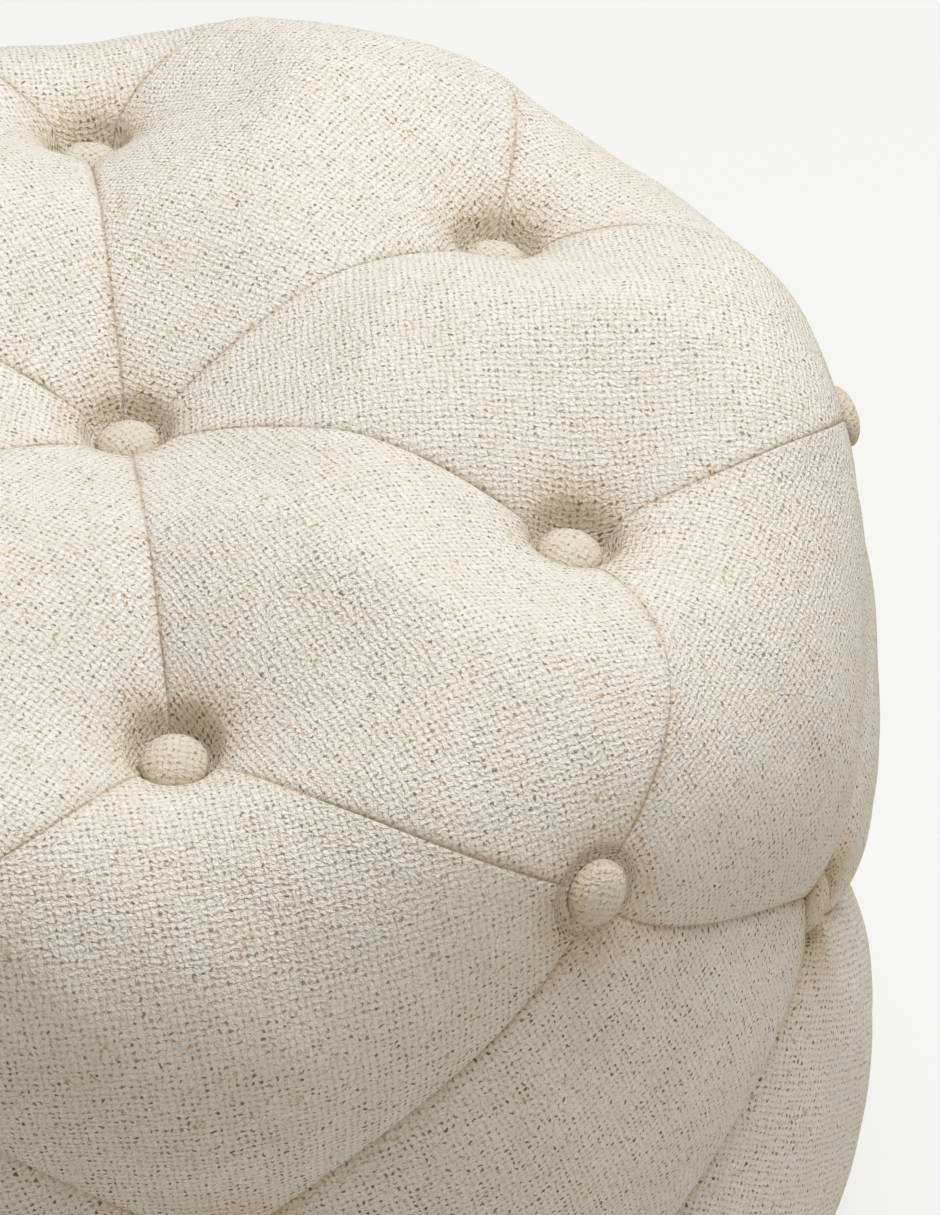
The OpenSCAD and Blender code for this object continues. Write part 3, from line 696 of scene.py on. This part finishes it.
# The second colour is the cream cloth of the buttons painted darker, as shade on their lit domes.
CREAM, BUTTON_SHADED_CREAM = (0.935, 0.925, 0.89, 1), (0.73, 0.70, 0.635, 1)
HOLE, SLUB, CREASE_SHADE = (0.26, 0.165, 0.08, 1), (0.62, 0.42, 0.21, 1), (0.33, 0.235, 0.14, 1)
LUMP_BROWN, YARN_GAP_SHADE = (0.62, 0.50, 0.33, 1), (0.52, 0.42, 0.27, 1)
SHADE_TAN, SIDE_SHADE_BROWN = (0.66, 0.48, 0.25, 1), (0.70, 0.45, 0.22, 1)


class WeaveNet(Net):
    """Nodes of a chunky plain weave. They read where the threads run, and how far pleats and buttons are."""

    def __init__(self, name):
        super().__init__(name)
        self.where = self.attribute("weave")
        near = self.parts(self.attribute("near"))
        self.crease, self.rim = near[0], near[1]
        self.p, self.q = self.thread_numbers()
        pattern = self.parts(self.where)[2]
        self.luck = self.luck_of("ROUND", pattern)
        self.hole_luck = self.luck_of("FLOOR", self.math("ADD", pattern, HOLE_PATTERN))
        self.fuzz = self.noise(self.where, *FUZZ_NOISE)[0]
        # 1 on the walls of the button wells, away from the pleats: the holes open wider there as the cloth
        # stretches, and painted shade turns the cloth tan.
        self.wall = self.scaled(self.step(self.rim, *WALL_SPAN), self.step(self.crease, *WALL_PLEAT_SPAN))
        # 1 low on the side, where the cloth is in shade: it paints darker holes and warm brown there, and
        # weakens the painted crease line.
        self.side = self.step(self.parts(self.place())[2], *SIDE_HEIGHT)
        self.lift = self.relief()

    def thread_numbers(self):
        """Count of threads in both directions, drawn a little aside by slow and by quick unevenness."""
        moved = self.where
        for scale, reach in DRIFTS:
            drift = self.vec("SUBTRACT", self.noise(self.where, scale)[1], (0.5, 0.5, 0.5))
            moved = self.vec("ADD", moved, self.times(drift, reach))
        places = self.parts(moved)
        return [self.scaled(places[i], 1.0 / PITCH) for i in (0, 1)]

    def luck_of(self, rule, pattern):
        """A random number for each lump or each hole of the weave."""
        return self.random(self.join(self.math(rule, self.p), self.math(rule, self.q), pattern))

    def yarns(self, along, across, sign):
        """Height of a set of yarns that run along one direction and pass over and under the crossing ones."""
        number = self.math("ROUND", across)
        wave = self.math("COSINE", self.scaled(across, 2 * math.pi))
        flank = self.scaled(wave, -0.5, 0.5)
        profile = self.math("SUBTRACT", 1.0, self.math("POWER", flank, YARN_POWER))
        over = self.scaled(self.math("COSINE", self.scaled(along, math.pi)),
                           self.math("COSINE", self.scaled(number, math.pi)))
        return self.scaled(profile, self.scaled(over, YARN_SWING * sign, YARN_HEIGHT))

    def relief(self):
        """Height of the cloth: crossing yarns, lumps that stand unevenly, and fuzz over all."""
        crossing = self.math("MAXIMUM", self.yarns(self.q, self.p, 1.0), self.yarns(self.p, self.q, -1.0))
        lift = self.scaled(crossing, YARN_LIFT)
        lift = self.scaled(self.math("SUBTRACT", self.luck, 0.5), LUMP_LIFT, lift)
        return self.scaled(self.math("SUBTRACT", self.fuzz, 0.5), FUZZ_LIFT, lift)

    def holes(self, share):
        """How strongly the small round holes between the yarns show, from 0 to 1."""
        aside, ahead = [self.math("SUBTRACT", self.math("FRACT", x), 0.5) for x in (self.p, self.q)]
        away = self.math("SQRT", self.scaled(aside, aside, self.scaled(ahead, ahead)))
        away = self.scaled(self.math("SUBTRACT", self.fuzz, 0.5), HOLE_FUZZ, away)
        size = self.scaled(self.hole_luck, HOLE_SPREAD, self.scaled(self.wall, HOLE_WIDENED, HOLE_LEAST))
        gap = self.step(self.math("SUBTRACT", away, size), 0.0, HOLE_EDGE, 1.0, 0.0)
        strength = self.scaled(self.scaled(self.hole_luck, self.hole_luck),
                               HOLE_STRONG * share, HOLE_FAINT * share)
        # painted shade: the holes grow darker low on the side
        strength = self.scaled(self.scaled(self.side, self.hole_luck), HOLE_SIDE_SHADE, strength)
        strength = self.scaled(self.wall, HOLE_WALL, strength)
        return self.scaled(gap, strength, clamp=True)

    def yarn_colour(self, light):
        """Broad tones of one colour, with some lumps browner, painted shade that browns the low places
        between the yarns, and brown slubs.
        """
        tone = self.step(self.noise(self.where, *TONE_NOISE)[0], *TONE_SPAN)
        base = self.mix(tone, light, [x * y for x, y in zip(light, TONE_SHADE)])
        base = self.mix(self.scaled(self.step(self.luck, 0.0, 1.0), LUMP_TINT), base, LUMP_BROWN)
        # painted shade: the low places of the relief turn brown
        base = self.mix(self.step(self.lift, *YARN_GAP_SHADE_SPAN), base, YARN_GAP_SHADE)
        aside = self.vec("ADD", self.where, SLUB_SHIFT)
        slub = self.step(self.noise(aside, *SLUB_NOISE)[0], *SLUB_SPAN)
        return self.mix(self.scaled(slub, SLUB_TINT), base, SLUB)

    def with_painted_shade(self, base):
        """Painted shade: tan in the wells and along the pleats, and a warm brown round the buttons low on the
        side.
        """
        patchy = self.step(self.noise(self.where, *TAN_NOISE)[0], *TAN_SPAN)
        by_pleat = self.scaled(self.step(self.crease, *TAN_PLEAT_SPAN), self.step(self.rim, *TAN_FADE_SPAN))
        # painted shade: tan on the well walls and in a band along each pleat
        tan_shade = self.math("MAXIMUM", self.scaled(self.wall, TAN_WALL), by_pleat)
        base = self.mix(self.scaled(tan_shade, patchy, clamp=True), base, SHADE_TAN)
        # painted shade: warm brown round the buttons of the shaded lower side
        side_shade = self.scaled(self.scaled(self.side, patchy), self.step(self.rim, *SIDE_SHADE_SPAN), clamp=True)
        return self.mix(side_shade, base, SIDE_SHADE_BROWN)

    def fold(self):
        """Painted shade in the creases of the pleats: a brown line, uneven, stronger near a button and weaker
        low on the side, where the lamps already shade it.
        """
        faint = self.step(self.noise(self.where, *FOLD_NOISE)[0], *FOLD_FAINT_SPAN)
        faint = self.scaled(faint, self.step(self.rim, *FOLD_FADE_SPAN))
        line = self.scaled(self.step(self.crease, *FOLD_SPAN), faint)
        return self.scaled(line, self.scaled(self.side, FOLD_SIDE, 1.0))


def weave_material(name, light, relief, hole_share):
    """Chunky plain weave: pale lumps of yarn with small dark holes between them."""
    m = WeaveNet(name)
    colour = m.mix(m.holes(hole_share), m.with_painted_shade(m.yarn_colour(light)), HOLE)
    # painted shade along the creases
    colour = m.mix(m.fold(), colour, CREASE_SHADE)
    return m.finish(colour, 0.92, m.lift, relief, Sheen_Weight=0.12, Sheen_Roughness=0.6,
                    Specular_IOR_Level=0.25)


GRAIN_SCALE, PORE_SCALE, GRAIN_BANDS, GRAIN_DEPTH = 18.0, 162.0, 9.0, 0.0004


def grain_material(name, light, dark, stretch):
    """Long-grained wood: stretch is the scale of the pattern along each axis."""
    m = Net(name)
    where = m.vec("MULTIPLY", m.place(), stretch)
    rings = m.noise(where, GRAIN_SCALE, 4.0, 0.6)[0]
    pores = m.noise(where, PORE_SCALE)[0]
    bands = m.step(m.math("FRACT", m.scaled(rings, GRAIN_BANDS)), 0.15, 0.85)
    shade = m.math("ADD", m.scaled(bands, 0.6), m.scaled(pores, 0.5))
    colour = m.mix(m.step(shade, 0.2, 0.9), light, dark)
    return m.finish(colour, 0.6, shade, GRAIN_DEPTH)


CLOUD_SIZE, ROUGH_SWING = 14, 0.08


def speckle_material(name, light, dark, rough, scale, depth, metallic):
    """Even material with fine speckle, such as fibre, cast metal or moulded plastic."""
    m = Net(name)
    where = m.place()
    spots = m.noise(where, scale, 3.0, 0.6)[0]
    clouds = m.noise(where, scale / CLOUD_SIZE)[0]
    mixed = m.math("ADD", m.scaled(spots, 0.7), m.scaled(clouds, 0.3))
    colour = m.mix(m.step(mixed, 0.4, 0.6), light, dark)
    roughness = m.step(mixed, 0.3, 0.7, max(rough - ROUGH_SWING, 0), min(rough + ROUGH_SWING, 1))
    return m.finish(colour, roughness, spots, depth, Metallic=metallic)


CELL_SCALE, CELL_DEPTH = 900.0, 0.0006


def foam_material(name, light, dark):
    """Open-celled foam, a little clouded."""
    m = Net(name)
    where = m.place()
    cells = m.add("ShaderNodeTexVoronoi", feature="F1")
    m.plug(where, cells.inputs["Vector"])
    cells.inputs["Scale"].default_value = CELL_SCALE
    shape = cells.outputs["Distance"]
    colour = m.mix(m.step(shape, 0.2, 0.7), light, dark)
    colour = m.mix(m.scaled(m.noise(where, 14.0, 3.0)[0], 0.3), colour, dark)
    return m.finish(colour, 0.95, shape, CELL_DEPTH)


TWIST_ACROSS, TWIST_ALONG, THREAD_DEPTH = 1500.0, 1900.0, 0.0003


def twine_material(name, light, dark):
    """Twisted cord: slanting strands round each line."""
    m = Net(name)
    p = m.parts(m.place())
    across = m.scaled(m.math("ADD", p[0], p[1]), TWIST_ACROSS)
    strands = m.math("SINE", m.math("ADD", across, m.scaled(p[2], TWIST_ALONG)))
    colour = m.mix(m.step(strands, -0.6, 0.7), dark, light)
    return m.finish(colour, 0.7, strands, THREAD_DEPTH)


def cloth_sheet_material(name, light, dark, scale):
    """Thin lining cloth with crossed threads."""
    m = Net(name)
    p = m.parts(m.place())
    crossed = m.scaled(m.math("SINE", m.scaled(p[0], scale)), m.math("SINE", m.scaled(p[1], scale)))
    specks = m.noise(m.place(), 300.0, 3.0, 0.7)[0]
    shade = m.math("ADD", m.scaled(crossed, 0.3), specks)
    colour = m.mix(m.step(shade, 0.25, 0.8), dark, light)
    return m.finish(colour, 0.9, shade, THREAD_DEPTH)


# Light and dark colour, roughness, scale of the speckle, depth of its relief, and 1 for a metal
SPECKLED = {
    "fibre": ((0.86, 0.86, 0.84, 1), (0.72, 0.72, 0.70, 1), 0.95, 240.0, 0.002, 0.0),
    "bent_board": ((0.40, 0.27, 0.16, 1), (0.30, 0.19, 0.11, 1), 0.7, 420.0, 0.0003, 0.0),
    "zinc_steel": ((0.62, 0.62, 0.60, 1), (0.45, 0.46, 0.47, 1), 0.35, 160.0, 0.0001, 1.0),
    "pressed_steel": ((0.55, 0.55, 0.56, 1), (0.42, 0.42, 0.43, 1), 0.3, 90.0, 0.0001, 1.0),
    "toggle_plastic": ((0.62, 0.62, 0.58, 1), (0.52, 0.52, 0.48, 1), 0.45, 500.0, 0.0001, 0.0),
    "glide_plastic": ((0.035, 0.034, 0.033, 1), (0.022, 0.021, 0.02, 1), 0.42, 700.0, 0.0002, 0.0),
}
# Light and dark colour, and the scale of the grain along each axis
GRAINED = {
    "plywood": ((0.62, 0.44, 0.26, 1), (0.42, 0.27, 0.14, 1), (0.15, 2.0, 2.0)),
    "softwood": ((0.70, 0.52, 0.32, 1), (0.52, 0.34, 0.17, 1), (2.0, 2.0, 0.12)),
}
# Light and dark colour, and the scale of the threads
THIN_CLOTHS = {
    "lining_cloth": ((0.52, 0.49, 0.43, 1), (0.36, 0.33, 0.28, 1), 5200.0),
    "dust_cloth": ((0.055, 0.055, 0.058, 1), (0.018, 0.018, 0.02, 1), 3900.0),
}
cover_cloth = weave_material("cover_cloth", CREAM, 0.0010, 1.0)
# the buttons' cloth with painted shade: a darker cream
button_cloth = weave_material("button_cloth", BUTTON_SHADED_CREAM, 0.0006, 0.9)
foam_stuff = foam_material("foam", (0.80, 0.74, 0.52, 1), (0.62, 0.55, 0.34, 1))
finishes = {"twine": twine_material("twine", (0.74, 0.68, 0.54, 1), (0.42, 0.36, 0.26, 1))}
for kind, table in ((speckle_material, SPECKLED), (grain_material, GRAINED),
                    (cloth_sheet_material, THIN_CLOTHS)):
    for name, values in table.items():
        finishes[name] = kind(name, *values)

# Camera and light. TURN turns the object, and LIFT and ROLL are the camera's, all in radians.
TURN, LIFT, ROLL = math.radians(3.0), 0.693, 0.058
FOCAL_PX, UNIT = 4272.0, 0.386
TARGET_PX, TARGET_OVER_SEAT = (128.0, 438.0), 4
SENSOR, CLIP_START, CLIP_END = 36.0, 0.05, 60.0


def axis_turn(a, b):
    """Rotation that brings direction a to direction b."""
    return Vector(a).rotation_difference(Vector(b)).to_matrix()


def set_camera():
    """Camera of the photograph: it sees the centre button at TARGET_PX from a known distance."""
    right, back = Vector((1, 0, 0)), Vector((0, -math.cos(LIFT), math.sin(LIFT)))
    view = Matrix((right, back.cross(right), back))
    aim = Vector((TARGET_PX[0] - WIDE / 2, -(TARGET_PX[1] - TALL / 2), -FOCAL_PX)).normalized()
    to_camera = axis_turn((0, 0, -1), aim) @ Matrix.Rotation(ROLL, 3, "Z") @ view
    untwist = Matrix.Rotation(-TURN, 3, "Z")
    target = Vector((0, 0, (SEAT_Z + TARGET_OVER_SEAT) * MM))
    spot = target + untwist @ (back * FOCAL_PX * UNIT * MM)
    cam = add_object("camera", bpy.data.cameras.new("camera"))
    cam.matrix_world = Matrix.Translation(spot) @ (untwist @ to_camera.transposed()).to_4x4()
    cam.data.sensor_width = SENSOR
    cam.data.lens = FOCAL_PX * SENSOR / TALL
    cam.data.clip_start, cam.data.clip_end = CLIP_START, CLIP_END
    bpy.context.scene.camera = cam


PAPER, WORLD_COLOUR, WORLD_STRENGTH = (0.922, 0.922, 0.922, 1), (1.0, 0.905, 0.72, 1), 0.375
FLOOR_HALF, FLOOR_COLOUR, FLOOR_GLOW = 14.0, (0.86, 0.86, 0.86, 1), 0.8
LAMP_AIM, LAMP_SIZE = (0, 0, 0.3), 1.6
LAMPS = {"key": ((0.5, 0.35, 2.2), 38.3, (0.965, 0.985, 1.0)),
         "front_fill": ((1.2, -2.0, 1.3), 3.8, (1.0, 0.86, 0.65))}


def area_light(name, place, power, colour):
    """Round soft lamp that looks at the object."""
    data = bpy.data.lights.new(name, "AREA")
    data.shape = "DISK"
    data.size, data.energy, data.color = LAMP_SIZE, power, colour
    obj = add_object(name, data)
    obj.location = place
    obj.rotation_euler = (Vector(LAMP_AIM) - Vector(place)).to_track_quat("-Z", "Y").to_euler()


def seen_mask(nodes, links):
    """1 for rays from the camera or seen in a reflection or through glass, and 0 for light on the object."""
    path = nodes.new("ShaderNodeLightPath")
    total = path.outputs["Is Camera Ray"]
    for key in ("Is Glossy Ray", "Is Transmission Ray"):
        n = nodes.new("ShaderNodeMath")
        n.operation = "MAXIMUM"
        links.new(total, n.inputs[0])
        links.new(path.outputs[key], n.inputs[1])
        total = n.outputs[0]
    return total


def set_world():
    """Pale paper to the camera, and warm even light on the object."""
    world = bpy.data.worlds.new("world")
    bpy.context.scene.world = world
    world.use_nodes = True
    nodes, links = world.node_tree.nodes, world.node_tree.links
    nodes.clear()
    seen, lit = nodes.new("ShaderNodeBackground"), nodes.new("ShaderNodeBackground")
    seen.inputs[0].default_value = PAPER
    lit.inputs[0].default_value = WORLD_COLOUR
    lit.inputs[1].default_value = WORLD_STRENGTH
    mixer, out = nodes.new("ShaderNodeMixShader"), nodes.new("ShaderNodeOutputWorld")
    links.new(seen_mask(nodes, links), mixer.inputs[0])
    links.new(lit.outputs[0], mixer.inputs[1])
    links.new(seen.outputs[0], mixer.inputs[2])
    links.new(mixer.outputs[0], out.inputs[0])


def floor_material():
    """Pale paper that glows a little to the camera and still takes the object's shadow."""
    m = Net("floor_paper")
    diffuse, glow = m.add("ShaderNodeBsdfDiffuse"), m.add("ShaderNodeEmission")
    diffuse.inputs[0].default_value = FLOOR_COLOUR
    glow.inputs[0].default_value = PAPER
    mixer, out = m.add("ShaderNodeMixShader"), m.add("ShaderNodeOutputMaterial")
    m.plug(m.scaled(seen_mask(m.tree.nodes, m.tree.links), FLOOR_GLOW), mixer.inputs[0])
    m.plug(diffuse.outputs[0], mixer.inputs[1])
    m.plug(glow.outputs[0], mixer.inputs[2])
    m.plug(mixer.outputs[0], out.inputs[0])
    return m.mat


def set_floor():
    """The floor, a wide flat square."""
    mesh = bpy.data.meshes.new("floor")
    sides = ((-1, -1), (1, -1), (1, 1), (-1, 1))
    mesh.from_pydata([(x * FLOOR_HALF, y * FLOOR_HALF, 0) for x, y in sides], [], [(0, 1, 2, 3)])
    mesh.materials.append(floor_material())
    add_object("floor", mesh)


# Pieces. A button's dome starts at DOME_FOOT over its seat, and BUTTON_TURN is the radius and height of its
# cloth where it turns under the edge and up inside.
DOME_STEPS, DOME_RISE, DOME_POWERS = 15, 5.7, (2.3, 0.66)
DOME_FOOT, DOME_INNER_FOOT, DOME_INNER_R = 1.5, 0.3, (10.6, 9.0, 6.0, 3.0, 0.0)
BUTTON_TURN = ((BUTTON_R - 0.05, 0.9), (BUTTON_R - 0.5, 0.4), (BUTTON_R - 1.4, 0.2), (9.4, 0.2),
               (9.4, 1.4), (10.9, 1.5), (11.2, 2.0))
GATHER_START, GATHER_SPAN, GATHERED_ROWS = 9.0, 3.5, DOME_STEPS + 2
GATHER_DEPTH, GATHER_FOLDS = 0.13, 19
# BUTTON_SHADE_RIM is the rim distance given to every button; it sets how much warm painted shade the buttons
# low on the side take.
BUTTON_SEGMENTS, BUTTON_PATTERN, BUTTON_SHADE_RIM, BUTTON_SHIFT = 48, 60, 22.0, 30


def dome(x):
    """Height of a button's dome over its foot, at a share of its radius."""
    return DOME_RISE * (1 - x ** DOME_POWERS[0]) ** DOME_POWERS[1]


def button_profile():
    """Radius and height of a covered button, from the top of its dome round its edge to its back."""
    out = [(BUTTON_R * x, DOME_FOOT + dome(x)) for x in np.sin(np.linspace(0, math.pi / 2, DOME_STEPS))]
    out += BUTTON_TURN
    out += [(r, DOME_INNER_FOOT + dome(r / BUTTON_R)) for r in DOME_INNER_R]
    return np.array(out)


def button_points(profile, a, ring, az):
    """Points of one covered button on its seat, gathered a little at its edge."""
    phase = rng.uniform(0, 6.28)
    r, z = profile[:, :1] * np.ones_like(a), profile[:, 1:]
    edge = np.clip((profile[:, :1] - GATHER_START) / GATHER_SPAN, 0, 1)
    edge *= (np.arange(len(profile)) < GATHERED_ROWS)[:, None]
    z = z + GATHER_DEPTH * edge * np.sin(GATHER_FOLDS * np.append(a[:-1], 0) + phase)
    x, y = r * np.cos(a), r * np.sin(a)
    for values in (x, y, z):
        values[:, -1] = values[:, 0]
    tip = np.array(axis_turn((0, 0, 1), facing(ring, az)))
    return np.stack([x, y, z], -1).reshape(-1, 3) @ tip.T + seat(ring, az)


def button_threads(lengths, a, pattern):
    """Weave coordinates of one button's cloth, turned and shifted at random."""
    turn = rng.uniform(0, 2 * math.pi)
    s = lengths[:, None] * np.cos(a + turn) + rng.uniform(0, BUTTON_SHIFT)
    t = lengths[:, None] * np.sin(a + turn) + rng.uniform(0, BUTTON_SHIFT)
    return np.stack([s, t, np.full_like(s, pattern)], -1).reshape(-1, 3)


def button_pieces(material):
    """All covered buttons as one piece: domes of the same cloth."""
    profile = button_profile()
    lengths = np.concatenate([[0], np.cumsum(np.linalg.norm(np.diff(profile, axis=0), axis=1))])
    a = np.arange(BUTTON_SEGMENTS + 1) / BUTTON_SEGMENTS * 2 * math.pi
    quads = grid_quads(len(profile) - 1, BUTTON_SEGMENTS)[:, ::-1]
    r = profile[:, :1] * np.ones_like(a)
    # Painted shade at each button's edge: the distance from the edge is given as a crease, so the crease line
    # and tan are painted there.
    from_edge = np.where((np.arange(len(profile)) < DOME_STEPS)[:, None], BUTTON_R - r, 0.0)
    spots = np.stack([from_edge.ravel(), np.full(r.size, BUTTON_SHADE_RIM), np.zeros(r.size)], 1)
    points, weave, near, faces = [], [], [], []
    for ring in range(len(RING_R)):
        for az in ring_azimuths(ring):
            faces.append(quads + len(points) * r.size)
            points.append(button_points(profile, a, ring, az))
            weave.append(button_threads(lengths, a, BUTTON_PATTERN + len(points)))
            near.append(spots)
    points, weave, near, faces = [np.concatenate(x) for x in (points, weave, near, faces)]
    v, f, first = welded(points, faces)
    return make_piece("button_caps", v, f, material, BUTTON_SHARP,
                      {"weave": weave[faces]}, {"near": near[first]})


def flat_sheet(name, radii, height, thickness, material):
    """A thin round or ring-shaped cloth, with top and underside."""
    r, a = np.meshgrid(radii, circle(SHEET_SEGMENTS), indexing="ij")
    low = np.stack([r * np.cos(a), r * np.sin(a), height(r, a)], -1).reshape(-1, 3)
    v, f, _ = welded(low, grid_quads(len(radii) - 1, SHEET_SEGMENTS))
    every, closed = closed_shell(v + np.array([0, 0, thickness]), f, v)
    return make_piece(name, every, closed, material, PLAIN_SHARP)


def make_pillows():
    """The cloth of each set of pillows, and the fibre under it."""
    for name, rings in PANELS.items():
        cover = cover_piece(name + "_cover_cloth", rings, cover_cloth)
        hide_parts(name + "_cover")
        fill = fill_piece(name + "_fibre", rings, finishes["fibre"])
        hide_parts(name + "_fill")


FOAM_ARC_POINTS, FOAM_FOOT, FOAM_TOP_R, FOAM_INNER_R = 14, 1, (180, 120, 60, 0), 120
BAND_GAP, BAND_ROUND = 0.3, 1.5


def make_seat_foam():
    """Foam block of the seat, with a round shoulder."""
    arc = [(FOAM_R - FOAM_ROUND + FOAM_ROUND * math.cos(t), FOAM_TOP - FOAM_ROUND + FOAM_ROUND * math.sin(t))
           for t in np.linspace(0, math.pi / 2, FOAM_ARC_POINTS)]
    base = [(0, SEAT_FOAM_Z), (FOAM_INNER_R, SEAT_FOAM_Z), (FOAM_R - FOAM_FOOT, SEAT_FOAM_Z),
            (FOAM_R, SEAT_FOAM_Z + FOAM_FOOT)]
    block = turned_piece("seat_foam_block", base + arc + [(r, FOAM_TOP) for r in FOAM_TOP_R], foam_stuff)
    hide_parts("seat_foam")


def make_side_foam():
    """Foam band round the drum."""
    low = BASE_TOP + BAND_GAP
    corners = [(SIDE_FOAM_IN, low), (FOAM_R, low), (FOAM_R, SIDE_FOAM_TOP), (SIDE_FOAM_IN, SIDE_FOAM_TOP)]
    band = turned_piece("side_foam_band", rounded(corners, BAND_ROUND), foam_stuff)
    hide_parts("side_foam")


def make_buttons():
    """The covered buttons."""
    caps = button_pieces(button_cloth)
    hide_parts("button_cloths")


STRIP_IN, STRIP_OUT = LINING_IN + 0.3, HEM_R - 0.6
STRIP_RADII = (STRIP_IN, 255, 262, 270, 278, 284, STRIP_OUT)
STRIP_RIPPLE, STRIP_RIPPLES, STRIP_THINNER = 0.04, 70, 0.1


def strip_height(r, a):
    """Underside of the hem lining, a little rippled."""
    return BASE_Z - LINING_T + STRIP_RIPPLE + STRIP_RIPPLE * np.sin(STRIP_RIPPLES * a)


def make_hem_lining():
    """Ring strip that carries the hem under the base."""
    strip = flat_sheet("hem_lining_strip", STRIP_RADII, strip_height, LINING_T - STRIP_THINNER,
                       finishes["lining_cloth"])
    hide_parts("hem_lining")


DUST_RADII = (0, 30, 70, 110, 150, 190, 225, 240, 245, 246, 247, 248, 249, 251, 256, DUST_R)
DUST_GAP, DUST_SHARE = 0.14, 0.7
LAP_BEFORE, LAP_SPAN, LAP_DROP = 3.0, 4.0, 0.78
DUST_WAVE, DUST_WAVES, DUST_TWIST, DUST_CALM = 0.12, 9, 0.02, 60


def dust_height(r, a):
    """Underside of the dust cloth: slightly wavy, with a step down where it laps over the hem lining."""
    lap = np.clip((r - LINING_IN + LAP_BEFORE) / LAP_SPAN, 0, 1)
    dip = DUST_WAVE * np.sin(DUST_WAVES * a + DUST_TWIST * r) * np.clip(r / DUST_CALM, 0, 1) * (1 - lap)
    return BASE_Z - LINING_T - DUST_GAP - LAP_DROP * lap * lap * (3 - 2 * lap) + dip


def make_dust_cover():
    """Black cloth under the base."""
    under = flat_sheet("underside_cloth", DUST_RADII, dust_height, LINING_T * DUST_SHARE,
                       finishes["dust_cloth"])
    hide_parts("dust_cover")


HARD_NODES = {
    "plywood": ("top_board", "base_board"),
    "softwood": ("posts",),
    "bent_board": ("drum_wall",),
    "pressed_steel": ("button_shells", "button_backs"),
    "zinc_steel": ("frame_screws", "wall_nails", "hem_staples", "dust_cover_staples", "glide_screws"),
    "twine": ("button_twine",),
    "toggle_plastic": ("twine_toggles",),
    "glide_plastic": ("glides",),
}


def finish_hard_nodes():
    """The hard nodes keep their own shape and get their materials."""
    for slot, nodes in HARD_NODES.items():
        for name in nodes:
            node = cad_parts[name]
            node.data.materials.clear()
            node.data.materials.append(finishes[slot])


set_camera()
set_world()
set_floor()
for name, values in LAMPS.items():
    area_light(name, *values)
bpy.context.scene.view_settings.view_transform = "Standard"

make_pillows()
make_seat_foam()
make_side_foam()
make_buttons()
make_hem_lining()
make_dust_cover()
finish_hard_nodes()
